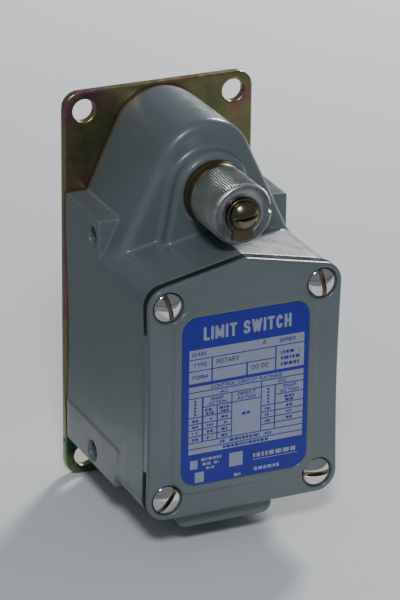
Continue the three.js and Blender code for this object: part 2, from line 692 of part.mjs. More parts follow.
const terminal = { x: 14.6, rise: 7.4, holeDepth: 9, screwLength: 8.5 }; // rise: from strip to screw
const terminalPlaces = [
  [-terminal.x, contact.z + stripOuter + terminal.rise],
  [terminal.x, contact.z + stripOuter + terminal.rise],
  [-terminal.x, contact.z - stripOuter - terminal.rise],
  [terminal.x, contact.z - stripOuter - terminal.rise],
];
const blockScrewPlaces = [
  [-19.5, 1.5],
  [19.5, -46],
];

const stripBack = block.front - strip.lift;
const stripFront = stripBack - strip.thick;
const clampBack = stripFront - CLOSE;
const clampFront = clampBack - clamp.thick;

function terminalStrip(x, side) {
  const near = contact.z + side * stripInner;
  const outer = contact.z + side * stripOuter;
  const far = contact.z + side * (stripOuter + terminal.rise + strip.end);
  const screwZ = contact.z + side * (stripOuter + terminal.rise);
  const sides = [x - strip.half, x + strip.half];
  const tongue = box(...sides, stripFront, strip.back, Math.min(near, outer), Math.max(near, outer));
  const face = box(...sides, stripFront, stripBack, Math.min(far, near), Math.max(far, near));
  const hole = [stripFront - DEPTH_OVERRUN, stripBack + DEPTH_OVERRUN];
  return tongue.add(face).subtract(rodY(strip.holeR, ...hole, x, screwZ, strip.holeR, 16));
}

function terminalClamp(x, z) {
  const { half } = clamp;
  const plateShape = box(x - half, x + half, clampFront, clampBack, z - half, z + half);
  const hole = [clampFront - DEPTH_OVERRUN, clampBack + DEPTH_OVERRUN];
  return plateShape.subtract(rodY(strip.holeR, ...hole, x, z, strip.holeR, 16));
}

// A slotted pan-head screw whose head sits on the plane y = seat.
function panScrew(x, z, seat, length, slotAngle) {
  const { shankR, headR, headH, slot, slotDepth } = smallScrew;
  const profile = [
    [0, seat - headH],
    [headR * 0.7, seat - headH],
    [headR, seat - headH * 0.6],
    [headR, seat],
    [shankR, seat],
    [shankR, seat + length],
    [0, seat + length],
  ];
  const cut = new THREE.BoxGeometry(slot, 2 * slotDepth, 4 * headR).rotateY(turn(slotAngle));
  return turned(profile, x, z, 14).subtract(solid(cut.translate(x, seat - headH, z)));
}

function contactSpring() {
  const { turns, r, wire, y, end } = contactCoil;
  const bottom = channel.bottom + end;
  const height = carrier.bottom - end - bottom;
  return coilSpring(turns, wire, 45, (angle, t) => {
    return new THREE.Vector3(r * Math.cos(angle), y + r * Math.sin(angle), bottom + height * t);
  });
}

// ---- Assembly ----
add("mounting_plate", mountingPlate(), "zinc");
plateScrewPlaces.forEach(([x, z], i) => add(`plate_screw_${i + 1}`, plateScrewAt(x, z), "steel"));

add("back_gasket", backGasketShape(), "fibre");
add("housing", housingShape(), "enamel");
add("cover_gasket", coverGasket(), "rubber");
add("cover", coverShape(), "enamel");
add("nameplate", nameplate(), "label");
const slotAngles = [-15, -11, 37, -87];
coverScrewPlaces.forEach(([x, z], i) => {
  add(`cover_screw_${i + 1}`, coverScrewAt(x, z, slotAngles[i]), "steel");
});

add("operating_shaft", operatingShaft(), "steel");
add("shaft_collar", shaftCollar(), "bronze");
add("shaft_end_screw", shaftEndScrew(), "darkSteel");
add("lock_washer", lockWasher(), "darkSteel");
add("cam", camShape(), "steel");
add("cam_pin", rodX(camPin.r, -camPin.half, camPin.half, camPin.y, shaftZ, 16), "steel");
const retainerRing = ringY(retainer.r, shaft.rearR + cam.fit, retainer.front, retainer.back, 0, shaftZ);
add("retaining_ring", retainerRing, "steel");
const thrustRing = ringY(thrust.r, shaft.journalR + cam.fit, thrust.front, thrust.back, 0, shaftZ, 40);
add("thrust_washer", thrustRing, "brass");
const sealRing = ringY(seal.r, shaft.journalR + CLOSE, seal.front, seal.back, 0, shaftZ, 48);
add("shaft_seal", sealRing, "rubber");
add("front_bushing", frontBushing(), "bronze");
add("rear_bushing", rearBushing(), "bronze");
add("return_spring", returnSpring(), "steel");

add("plunger", plungerShape(), "steel");
const pinReach = forkInner + plunger.cheek;
const pinEnds = [roller.y - pinReach, roller.y + pinReach];
add("roller_pin", rodY(roller.pinR, ...pinEnds, 0, rollerZ, roller.pinR, 20), "steel");
const rollerEnds = [roller.y - roller.half, roller.y + roller.half];
add("follower_roller", ringY(roller.r, roller.bore, ...rollerEnds, 0, rollerZ, 32), "steel");
add("contact_carrier", contactCarrier(), "phenolic");
add("contact_bridge", contactBridge(), "brass");
add("contact_spring", contactSpring(), "steel");

add("contact_block", contactBlock(), "phenolic");
terminalPlaces.forEach(([x, z], i) => {
  const side = i < 2 ? 1 : -1;
  add(`terminal_${i + 1}`, terminalStrip(x, side), "brass");
  add(`terminal_clamp_${i + 1}`, terminalClamp(x, z), "brass");
  const screw = panScrew(x, z, clampFront - CLOSE, terminal.screwLength, 20 + 35 * i);
  add(`terminal_screw_${i + 1}`, screw, "steel");
});
const blockScrewLength = 33;
blockScrewPlaces.forEach(([x, z], i) => {
  add(`block_screw_${i + 1}`, panScrew(x, z, block.front - CLOSE, blockScrewLength, 15 + 50 * i), "steel");
});
const groundScrewLength = 7;
const groundScrew = panScrew(groundBoss.x, groundBoss.z, groundBoss.front - CLOSE, groundScrewLength, 45);
add("ground_screw", groundScrew, "green");

export default group;
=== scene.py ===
import itertools
import json
import math

import bmesh
import bpy
import numpy as np
from mathutils import Matrix, Vector


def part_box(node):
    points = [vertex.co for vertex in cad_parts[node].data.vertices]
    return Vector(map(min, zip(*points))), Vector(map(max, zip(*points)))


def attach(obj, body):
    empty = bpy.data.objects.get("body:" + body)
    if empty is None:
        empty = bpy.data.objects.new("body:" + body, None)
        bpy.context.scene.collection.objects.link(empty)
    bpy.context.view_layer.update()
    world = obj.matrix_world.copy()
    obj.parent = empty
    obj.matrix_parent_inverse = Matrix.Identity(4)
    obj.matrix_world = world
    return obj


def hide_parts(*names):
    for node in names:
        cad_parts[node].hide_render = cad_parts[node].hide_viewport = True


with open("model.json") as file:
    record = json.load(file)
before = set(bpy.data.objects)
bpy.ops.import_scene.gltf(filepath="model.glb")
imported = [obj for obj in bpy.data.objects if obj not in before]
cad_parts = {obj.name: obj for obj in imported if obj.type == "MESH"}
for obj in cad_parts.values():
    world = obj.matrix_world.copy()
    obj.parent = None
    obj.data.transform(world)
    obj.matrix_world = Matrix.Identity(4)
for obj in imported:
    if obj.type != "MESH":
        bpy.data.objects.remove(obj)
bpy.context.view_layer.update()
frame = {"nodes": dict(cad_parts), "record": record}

MM = 0.001


def span(node):
    """Lowest and highest corner of a CAD node, in millimetres."""
    low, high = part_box(node)
    return np.array(low) / MM, np.array(high) / MM


# ---- Sizes read from the CAD frame ----
PLATE_LOW, PLATE_HIGH = span("mounting_plate")
HOUSE_LOW, HOUSE_HIGH = span("housing")
COVER_LOW, COVER_HIGH = span("cover")
GASKET_LOW, GASKET_HIGH = span("cover_gasket")
LABEL_LOW, LABEL_HIGH = span("nameplate")
SHAFT_LOW, SHAFT_HIGH = span("operating_shaft")
COLLAR_LOW, COLLAR_HIGH = span("shaft_collar")
END_SCREW_LOW, END_SCREW_HIGH = span("shaft_end_screw")
WASHER_LOW, WASHER_HIGH = span("lock_washer")
SCREW_SPANS = [span(f"cover_screw_{i}") for i in (1, 2, 3, 4)]
SCREW_PLACES = [((low + high) / 2)[[0, 2]] for low, high in SCREW_SPANS]

HALF = HOUSE_HIGH[0]
FRONT, BACK = HOUSE_LOW[1], HOUSE_HIGH[1]
RIDGE = COVER_HIGH[2]
BOX_BOTTOM = COVER_LOW[2]
SCREW_X = SCREW_PLACES[1][0]
SCREW_BOTTOM = SCREW_PLACES[3][1]
CORNER = HALF - SCREW_X
SHAFT_Z = (COLLAR_LOW[2] + COLLAR_HIGH[2]) / 2

# ---- Sizes of features inside a node ----
GABLE = 0.215  # fall of the roof per unit of width
WAIST = 0.7
HOUSE_TOP_CORNER = 10.5
WALL, FLOOR = 4.2, -10.0
TURRET = {"r": 19.0, "z": HOUSE_HIGH[2] - 19.0, "slope": 0.467, "front": -46.8, "edge": 3.5, "wall": 4.0}
TURRET_FOOT, HOLLOW_FOOT = 22.7, 18.0
PAD = {"r": 14.6, "slope": 0.19, "front": -52.5, "edge": 2.0, "foot": 10.0, "root": 2.4}
COLLAR_RIM = {"r": 13.3, "y": -53.0}
SHAFT_BORE = {"r": 8.9, "back": -30.0}
SCREW_COLUMN_R = 6.4  # the casting round each cover screw
SCREW_HOLE = {"r": 3.3, "back": -62.0}
UPPER_LUG = {"inner": 27.0, "top": 39.5, "bottom": 22.7, "front": -35.9}
LOWER_LUG = {"inner": 30.0, "top": -44.0, "bottom": -60.6, "front": -55.5, "shear": 3.6}
TAPPED = {"r": 3.95, "y": -30.0, "places": ((31.6, 8.0), (-55.0, 11.0))}
HUB = {"x": -4.85, "half": 19.05, "corner": 4.0, "top": -40.0, "back": -39.0}
CONDUIT_HOLE = {"y": -58.0, "r": 12.3, "top": -54.0}
EDGE, FILLET = 0.6, 0.5  # the usual rounding of an outer edge, and of an inner corner
REAR_BOSS = {"r": 11.0, "front": -17.0, "bore_r": 7.3, "bore_back": -8.1}
GROUND_BOSS = {"x": 28.6, "z": -12.0, "r": 5.0, "front": -36.0, "hole_r": 2.2, "hole_back": -28.0}
COVER_FACE, COVER_BACK = -82.4, -80.2
COVER_PAD = {"half": 28.2, "top": 20.2, "bottom": -52.0, "r": 8.0}
LIP = {"inner": 2.4, "top": 12.0, "bottom": -42.0}
GASKET_GAP = 0.3  # between the gasket and the cover's lip
LABEL_GAP, LABEL_RECESS_CORNER = 0.25, 6.2
RECESS_R = 6.05
SCREW_HEAD_SEAT = COVER_BACK - 0.75
SCREW_SLOT_HALF = 0.82
PLATE_CORNER, PLATE_HOLE_R = 6.35, 4.35
PLATE_HOLES = [(x, z) for x in (-30.2, 30.2) for z in (-70.3, 70.3)]
KNURL_TEETH = 84
NOTCH = {"angle": 5, "half": 7.5, "r": 10.0, "long": 5}  # in the rim of the shaft's end face
MERGE_TILE = 12  # flat faces are merged into tiles of this many grid cells


# ---- Signed distance fields, negative inside, and the meshes made from them ----
def outline_distance(points, x, z):
    """Signed distance in the XZ plane to a closed polygon."""
    nearest = np.full(np.broadcast(x, z).shape, 1e9)
    inside = np.zeros(nearest.shape, bool)
    for (ax, az), (bx, bz) in zip(points, points[1:] + points[:1]):
        ex, ez = bx - ax, bz - az
        along = np.clip(((x - ax) * ex + (z - az) * ez) / (ex * ex + ez * ez + 1e-12), 0, 1)
        nearest = np.minimum(nearest, (x - ax - along * ex) ** 2 + (z - az - along * ez) ** 2)
        if az != bz:
            inside ^= ((az > z) != (bz > z)) & (x < ax + (z - az) * ex / ez)
    return (np.where(inside, -1.0, 1.0) * np.sqrt(nearest)).astype(np.float32)


def meet(a, b, r=0.0):
    """Intersection of two fields, its edge rounded to radius r."""
    if r == 0:
        return np.maximum(a, b)
    return np.minimum(np.maximum(a, b) + r, 0) + np.hypot(np.maximum(a + r, 0), np.maximum(b + r, 0)) - r


def join(a, b, r=0.0):
    """Union of two fields, with a fillet of radius r where they meet."""
    return -meet(-a, -b, r)


def cut(a, b, r=0.0):
    """Field a with field b taken away, the rim rounded to radius r."""
    return meet(a, -b, r)


class Grid:
    """Sample points on a regular lattice, as three arrays that broadcast together."""

    def __init__(self, low, high, cell):
        self.low, self.cell = np.array(low, float) - 2 * cell, cell
        counts = np.ceil((np.array(high, float) + 2 * cell - self.low) / cell).astype(int) + 1
        axes = [(self.low[i] + cell * np.arange(counts[i])).astype(np.float32) for i in range(3)]
        self.x, self.y, self.z = axes[0][:, None, None], axes[1][None, :, None], axes[2][None, None, :]

    def prism(self, points, front, edge=0.0, grow=0.0):
        """An outline swept back from a front plane, its front edge rounded."""
        return meet(outline_distance(points, self.x, self.z) - grow, front - self.y, edge)

    def between_y(self, field, front, back, edge=0.0):
        return meet(meet(field, front - self.y, edge), self.y - back, edge)

    def rod_y(self, x, z, r):
        return np.hypot(self.x - x, self.z - z) - r

    def rod_x(self, y, z, r):
        return np.hypot(self.y - y, self.z - z) - r

    def rod_z(self, x, y, r):
        return np.hypot(self.x - x, self.y - y) - r


def net(field, grid):
    """Vertices and quads of the zero level of a field, one vertex in each cell that it crosses."""
    field = np.broadcast_to(field, (grid.x.size, grid.y.size, grid.z.size))
    inside = field < 0
    corners = list(itertools.product((0, 1), repeat=3))
    cells = [inside[i : inside.shape[0] - 1 + i, j : inside.shape[1] - 1 + j, k : inside.shape[2] - 1 + k]
             for i, j, k in corners]
    active = np.logical_or.reduce(cells) & ~np.logical_and.reduce(cells)
    where = np.argwhere(active)
    number = np.full(active.shape, -1, np.int32)
    number[active] = np.arange(len(where))
    total, count = np.zeros((len(where), 3)), np.zeros(len(where))
    for start in corners:
        for axis in range(3):
            if start[axis]:
                continue
            end = list(start)
            end[axis] = 1
            a = field[tuple((where + start).T)]
            b = field[tuple((where + end).T)]
            crosses = (a < 0) != (b < 0)
            point = np.tile(np.array(start, float), (len(where), 1))
            point[:, axis] = np.where(crosses, a / np.where(crosses, a - b, 1), 0)
            total += np.where(crosses[:, None], point, 0)
            count += crosses
    vertices = grid.low + (where + total / count[:, None]) * grid.cell
    quads = []
    for axis in range(3):
        others = [o for o in range(3) if o != axis]
        shifted = [slice(1, -1)] * 3
        shifted[axis] = slice(0, -1)
        ahead = list(shifted)
        ahead[axis] = slice(1, None)
        here, there = inside[tuple(shifted)], inside[tuple(ahead)]
        edges = np.argwhere(here != there)
        leaving = here[tuple(edges.T)]
        for o in others:
            edges[:, o] += 1
        ring = []
        for du, dv in ((1, 1), (0, 1), (0, 0), (1, 0)):
            cell = edges.copy()
            cell[:, others[0]] -= du
            cell[:, others[1]] -= dv
            ring.append(number[tuple(cell.T)])
        quad = np.stack(ring, 1)
        flip = leaving == (axis == 1)
        quad[flip] = quad[flip][:, ::-1]
        quads.append(quad)
    return vertices, np.concatenate(quads)


def mesh_object(name, vertices, faces):
    """A Blender mesh object, from points in millimetres."""
    mesh = bpy.data.meshes.new(name)
    mesh.from_pydata((np.asarray(vertices, float) * MM).tolist(), [], [list(map(int, f)) for f in faces])
    mesh.validate()
    made = bpy.data.objects.new(name, mesh)
    bpy.context.scene.collection.objects.link(made)
    mesh.shade_smooth()
    return made


def weigh_normals(made):
    """Large flat faces keep their own normal, so that only the edges between them are shaded round."""
    weighted = made.modifiers.new("weighted_normals", "WEIGHTED_NORMAL")
    weighted.mode = "FACE_AREA"
    weighted.weight = 90
    weighted.keep_sharp = True
    made.cycles.shadow_terminator_offset = 0.15


def merge_flats(made, tile):
    """Merges the flat faces of a mesh tile by tile, so that the merged faces stay small."""
    faces = made.data.polygons
    centres = np.empty(len(faces) * 3)
    faces.foreach_get("center", centres)
    parity = np.floor(centres.reshape(-1, 3) / (tile * MM)).astype(int).sum(1) % 2
    faces.foreach_set("material_index", parity)
    work = bmesh.new()
    work.from_mesh(made.data)
    flat = math.radians(0.6)
    bmesh.ops.dissolve_limit(
        work, angle_limit=flat, verts=work.verts, edges=work.edges, delimit={"MATERIAL"}
    )
    for face in work.faces:
        face.material_index = 0
    work.to_mesh(made.data)
    work.free()
    weigh_normals(made)


def cast_piece(name, field, grid):
    """A smooth-shaded piece, cast from a field."""
    made = mesh_object(name, *net(field, grid))
    merge_flats(made, MERGE_TILE * grid.cell)
    return made


def lathe(name, profile, x, z, steps=96, closed=False):
    """A profile of (radius, y) points turned round the Y axis at (x, z)."""
    work = bmesh.new()
    rings = []
    for r, y in profile:
        if r < 1e-6:
            rings.append([work.verts.new((x * MM, y * MM, z * MM))])
            continue
        angles = (2 * math.pi * i / steps for i in range(steps))
        points = [(x + r * math.cos(a), y, z + r * math.sin(a)) for a in angles]
        rings.append([work.verts.new([c * MM for c in point]) for point in points])
    pairs = list(zip(rings, rings[1:] + rings[:1])) if closed else list(zip(rings, rings[1:]))
    for inner, outer in pairs:
        for i in range(steps):
            j = (i + 1) % steps
            corners = [
                inner[i % len(inner)],
                inner[j % len(inner)],
                outer[j % len(outer)],
                outer[i % len(outer)],
            ]
            unique = list(dict.fromkeys(corners))
            if len(unique) > 2:
                work.faces.new(unique)
    bmesh.ops.recalc_face_normals(work, faces=work.faces)
    mesh = bpy.data.meshes.new(name)
    work.to_mesh(mesh)
    work.free()
    mesh.shade_smooth()
    made = bpy.data.objects.new(name, mesh)
    bpy.context.scene.collection.objects.link(made)
    return made


def soften(made, width, segments=2, angle=30):
    """Rounds a piece's sharp edges."""
    bevel = made.modifiers.new("soft_edges", "BEVEL")
    bevel.width = width * MM
    bevel.segments = segments
    bevel.limit_method = "ANGLE"
    bevel.angle_limit = math.radians(angle)
    bevel.harden_normals = True


def install(made, body, slot, *nodes):
    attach(made, body)
    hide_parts(*nodes)
    return made


# ---- Outlines in the XZ plane ----
def arc(x, z, r, start, end, steps=16):
    angles = np.radians(np.linspace(start, end, steps + 1))
    return [(x + r * math.cos(a), z + r * math.sin(a)) for a in angles]


def rounded_rectangle(x0, x1, z0, z1, r):
    return [
        *arc(x0 + r, z0 + r, r, 180, 270),
        *arc(x1 - r, z0 + r, r, 270, 360),
        *arc(x1 - r, z1 - r, r, 0, 90),
        *arc(x0 + r, z1 - r, r, 90, 180),
    ]


def body_outline(top_corner=CORNER):
    """Round corners, a low gable on top and slightly waisted sides."""
    lean = math.degrees(math.atan(GABLE))
    top_x = HALF - top_corner
    top_z = RIDGE - GABLE * top_x - top_corner * math.hypot(1, GABLE)

    def side(sign):
        points = []
        for t in np.linspace(0, 1, 15)[1:-1]:
            rise = t if sign > 0 else 1 - t
            half = HALF - WAIST * math.sin(math.pi * t)
            points.append((sign * half, SCREW_BOTTOM + (top_z - SCREW_BOTTOM) * rise))
        return points

    return [
        *arc(-SCREW_X, SCREW_BOTTOM, CORNER, 180, 270),
        *arc(SCREW_X, SCREW_BOTTOM, CORNER, 270, 360),
        *side(1),
        *arc(top_x, top_z, top_corner, 0, 90 - lean),
        (0, RIDGE),
        *arc(-top_x, top_z, top_corner, 90 + lean, 180),
        *side(-1),
    ]


def crown_outline(r, z, slope, foot_z):
    """A round crown on two straight legs that spread downwards."""
    lean = math.degrees(math.atan(slope))
    crown = arc(0, z, r, lean, 180 - lean, 40)
    foot = crown[0][0] + slope * (crown[0][1] - foot_z)
    return [(foot, foot_z), *crown, (-foot, foot_z)]


# ---- Housing ----
def build_housing(cell):
    grid = Grid(HOUSE_LOW, HOUSE_HIGH, cell)
    body = grid.prism(body_outline(HOUSE_TOP_CORNER), FRONT, EDGE)
    turret_points = crown_outline(TURRET["r"], TURRET["z"], TURRET["slope"], TURRET_FOOT - CORNER)
    turret = grid.prism(turret_points, TURRET["front"], TURRET["edge"])
    turret = meet(turret, TURRET_FOOT - grid.z)
    pad_points = crown_outline(PAD["r"], SHAFT_Z, PAD["slope"], PAD["foot"])
    pad = grid.prism(pad_points, PAD["front"], PAD["edge"])
    rim = meet(grid.rod_y(0, SHAFT_Z, COLLAR_RIM["r"]), COLLAR_RIM["y"] - grid.y, EDGE)
    head = join(turret, pad, PAD["root"])
    head = join(head, rim, FILLET)
    shape = join(body, head, 1.3)

    left, right = HUB["x"] - HUB["half"], HUB["x"] + HUB["half"]
    hub_points = rounded_rectangle(left, right, HOUSE_LOW[2], HUB["top"], HUB["corner"])
    hub = meet(grid.prism(hub_points, FRONT, EDGE), grid.y - HUB["back"], 0.8)
    shape = join(shape, hub, 1.0)

    away = np.abs(grid.x)
    lug = meet(meet(away - HALF, UPPER_LUG["front"] - grid.y, 0.9), grid.z - UPPER_LUG["top"], 0.9)
    lug = meet(meet(lug, UPPER_LUG["inner"] - away), UPPER_LUG["bottom"] - grid.z, FILLET)
    shape = join(shape, lug, 0.8)

    slant = LOWER_LUG["shear"] / (LOWER_LUG["top"] - LOWER_LUG["bottom"])
    pad_front = LOWER_LUG["front"] + slant * (LOWER_LUG["top"] - grid.z) - grid.y
    foot = meet(meet(away - HALF, pad_front, 0.9), grid.z - LOWER_LUG["top"], 0.6)
    foot = meet(meet(foot, LOWER_LUG["inner"] - away), LOWER_LUG["bottom"] - grid.z, 0.4)
    shape = join(shape, foot, FILLET)
    shape = meet(meet(shape, away - HALF), grid.y - BACK, 0.4)

    hollow = meet(outline_distance(body_outline(), grid.x, grid.z) + WALL, grid.y - FLOOR, 1.0)
    for x, z in SCREW_PLACES:
        hollow = cut(hollow, grid.rod_y(x, z, SCREW_COLUMN_R), 0.8)
    inner_crown = crown_outline(TURRET["r"] - TURRET["wall"], TURRET["z"], TURRET["slope"], HOLLOW_FOOT)
    above = meet(grid.prism(inner_crown, TURRET["front"] + TURRET["wall"], 1.0), grid.y - FLOOR, 1.0)
    hollow = join(hollow, above)
    for boss, x, z in ((REAR_BOSS, 0, SHAFT_Z), (GROUND_BOSS, GROUND_BOSS["x"], GROUND_BOSS["z"])):
        hollow = cut(hollow, meet(grid.rod_y(x, z, boss["r"]), boss["front"] - grid.y), FILLET)
    shape = cut(shape, hollow, FILLET)

    shaft_bore = grid.rod_y(0, SHAFT_Z, SHAFT_BORE["r"])
    shape = cut(shape, meet(shaft_bore, grid.y - SHAFT_BORE["back"]), 0.4)
    rear_bore = grid.rod_y(0, SHAFT_Z, REAR_BOSS["bore_r"])
    shape = cut(shape, meet(rear_bore, grid.y - REAR_BOSS["bore_back"]), 0.3)
    ground_hole = grid.rod_y(GROUND_BOSS["x"], GROUND_BOSS["z"], GROUND_BOSS["hole_r"])
    shape = cut(shape, meet(ground_hole, grid.y - GROUND_BOSS["hole_back"]), 0.3)
    conduit = grid.rod_z(HUB["x"], CONDUIT_HOLE["y"], CONDUIT_HOLE["r"])
    shape = cut(shape, meet(conduit, grid.z - CONDUIT_HOLE["top"]), 0.7)
    for x, z in SCREW_PLACES:
        screw_hole = grid.rod_y(x, z, SCREW_HOLE["r"])
        shape = cut(shape, meet(screw_hole, grid.y - SCREW_HOLE["back"]), 0.3)
    for z, depth in TAPPED["places"]:
        bore = meet(grid.rod_x(TAPPED["y"], z, TAPPED["r"]), HALF - depth - away)
        shape = cut(shape, bore, 0.45)
    return install(cast_piece("housing_casting", shape, grid), "housing_body", "enamel", "housing")


def build_cover(cell):
    grid = Grid(COVER_LOW, COVER_HIGH, cell)
    outline = outline_distance(body_outline(), grid.x, grid.z)
    plate = meet(meet(outline, COVER_FACE - grid.y, 0.9), grid.y - COVER_BACK, 0.3)
    away = np.abs(grid.x)
    lip = meet(meet(outline, HALF - LIP["inner"] - away), grid.y - COVER_HIGH[1], 0.3)
    lip = meet(meet(lip, LIP["bottom"] - grid.z, 0.3), grid.z - LIP["top"], 0.3)
    lip = meet(lip, COVER_BACK - 1 - grid.y)
    shape = join(plate, lip, 0.3)
    pad_points = rounded_rectangle(
        -COVER_PAD["half"], COVER_PAD["half"], COVER_PAD["bottom"], COVER_PAD["top"], COVER_PAD["r"]
    )
    raised = meet(grid.prism(pad_points, COVER_LOW[1], 0.55), grid.y - COVER_FACE - 1)
    shape = join(shape, raised, 1.0)
    for x, z in SCREW_PLACES:
        shape = cut(shape, meet(grid.rod_y(x, z, RECESS_R), grid.y - COVER_BACK + 0.7), 0.35)
        shape = cut(shape, grid.rod_y(x, z, SCREW_HOLE["r"]))
    recess = rounded_rectangle(
        LABEL_LOW[0] - LABEL_GAP,
        LABEL_HIGH[0] + LABEL_GAP,
        LABEL_LOW[2] - LABEL_GAP,
        LABEL_HIGH[2] + LABEL_GAP,
        LABEL_RECESS_CORNER,
    )
    sunk = meet(outline_distance(recess, grid.x, grid.z), grid.y - LABEL_HIGH[1])
    shape = cut(shape, sunk, 0.15)
    return install(cast_piece("cover_casting", shape, grid), "cover_body", "enamel", "cover")


def build_gasket(cell):
    grid = Grid((-HALF, GASKET_LOW[1], BOX_BOTTOM), (HALF, GASKET_HIGH[1], RIDGE), cell)
    outline = outline_distance(body_outline(), grid.x, grid.z)
    shape = grid.between_y(outline, GASKET_LOW[1] - 0.25, GASKET_HIGH[1], 0.25)
    inner = outline + 5.4
    for x, z in SCREW_PLACES:
        inner = cut(inner, grid.rod_y(x, z, 6))
    shape = cut(shape, inner)
    for x, z in SCREW_PLACES:
        shape = cut(shape, grid.rod_y(x, z, SCREW_HOLE["r"]))
    away = np.abs(grid.x)
    notch = meet(HALF - LIP["inner"] - GASKET_GAP - away, grid.z - LIP["top"] - GASKET_GAP)
    notch = meet(notch, LIP["bottom"] - GASKET_GAP - grid.z)
    shape = cut(shape, notch)
    made = cast_piece("gasket_moulding", shape, grid)
    return install(made, "cover_body", "gasket_rubber", "cover_gasket")


def build_tapped_threads():
    """A threaded sleeve inside each side hole: a helical ridge on a short tube with a closed end."""
    pitch, depth_of_thread, steps = 1.41, 0.62, 48
    for (z, depth), sign in itertools.product(TAPPED["places"], (-1, 1)):
        rows = int(depth / 0.16)
        mouth, bottom = HALF - 0.5, HALF - depth + 0.15
        vertices, faces = [], []
        for row in range(rows + 1):
            out = mouth + (bottom - mouth) * row / rows
            for i in range(steps):
                turn = i / steps
                phase = ((mouth - out) / pitch + turn) % 1.0
                ridge = 1 - abs(2 * phase - 1)
                fade = min(1.0, (mouth - out) / 0.8)
                r = TAPPED["r"] - 0.12 - depth_of_thread * ridge * fade
                a = 2 * math.pi * turn
                vertices.append((sign * out, TAPPED["y"] + r * math.cos(a), z + r * math.sin(a)))
        for row, i in itertools.product(range(rows), range(steps)):
            j = (i + 1) % steps
            faces.append((row * steps + i, row * steps + j, (row + 1) * steps + j, (row + 1) * steps + i))
        shell = len(vertices)
        for out in (bottom - 0.1, mouth):
            for i in range(steps):
                a = 2 * math.pi * i / steps
                r = TAPPED["r"] - 0.02
                vertices.append((sign * out, TAPPED["y"] + r * math.cos(a), z + r * math.sin(a)))
        for i in range(steps):
            j = (i + 1) % steps
            faces.append((shell + i, shell + j, shell + steps + j, shell + steps + i))
            faces.append((shell + steps + i, shell + steps + j, j, i))
        faces.append([rows * steps + i for i in range(steps)])
        faces.append([shell + i for i in range(steps)])
        side = "left" if sign < 0 else "right"
        level = "upper" if z > 0 else "lower"
        made = mesh_object(f"thread_{level}_{side}", vertices, faces)
        work = bmesh.new()
        work.from_mesh(made.data)
        bmesh.ops.recalc_face_normals(work, faces=work.faces)
        work.to_mesh(made.data)
        work.free()
        made.data.shade_smooth()
        made.data.materials.append(ENAMEL)
        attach(made, "housing_body")


# ---- Mounting plate ----
def build_plate():
    """A flat plate with rounded corners, four bolt holes and four countersunk screw holes."""
    grid = Grid(PLATE_LOW, PLATE_HIGH, 0.45)
    outline = rounded_rectangle(PLATE_LOW[0], PLATE_HIGH[0], PLATE_LOW[2], PLATE_HIGH[2], PLATE_CORNER)
    shape = grid.between_y(outline_distance(outline, grid.x, grid.z), PLATE_LOW[1], PLATE_HIGH[1], 0.35)
    for x, z in PLATE_HOLES:
        shape = cut(shape, grid.rod_y(x, z, PLATE_HOLE_R), 0.35)
    for i in (1, 2, 3, 4):
        low, high = span(f"plate_screw_{i}")
        x, z = ((low + high) / 2)[[0, 2]]
        cone = (np.hypot(grid.x - x, grid.z - z) - 5.2 - grid.y) * 0.7
        shape = cut(shape, join(grid.rod_y(x, z, 2.7), cone))
    return install(cast_piece("plate_blank", shape, grid), "housing_body", "plate_zinc", "mounting_plate")


# ---- Screws and shaft ----
def build_cover_screw(number, angle):
    """A domed slotted head; seen from the front, the slot leans clockwise by the angle."""
    low, high = SCREW_SPANS[number - 1]
    x, z = SCREW_PLACES[number - 1]
    grid = Grid(low, high, 0.16)
    top, r = low[1], (high[0] - low[0]) / 2
    height = SCREW_HEAD_SEAT - top
    dome_r = (r * r + (height - 0.55) ** 2) / (2 * (height - 0.55))
    around = np.hypot(grid.x - x, grid.z - z)
    dome = np.hypot(around, grid.y - (top + dome_r)) - dome_r
    head = meet(meet(dome, around - r + 0.05, 0.35), grid.y - SCREW_HEAD_SEAT)
    shank = meet(around - 3, grid.y - high[1], 0.4)
    shape = join(head, meet(shank, top + 1 - grid.y))
    a = math.radians(angle)
    across = np.abs((grid.x - x) * math.cos(a) - (grid.z - z) * math.sin(a))
    slot = meet(across - SCREW_SLOT_HALF, grid.y - top - 1.5)
    shape = cut(shape, slot, 0.14)
    made = cast_piece(f"cover_screw_head_{number}", shape, grid)
    made.data.materials.append(SCREW_METAL)
    made.data.materials.append(DARK_STEEL_AND_SLOT_SHADE)
    # Faces in and beside the slot take the dark steel: painted shade in the slot of the bright screw.
    for polygon in made.data.polygons:
        px, _, pz = polygon.center / MM
        off_slot = abs((px - x) * math.cos(a) - (pz - z) * math.sin(a))
        polygon.material_index = int(off_slot < SCREW_SLOT_HALF + 0.05)
    return install(made, "cover_body", "screw_steel", f"cover_screw_{number}")


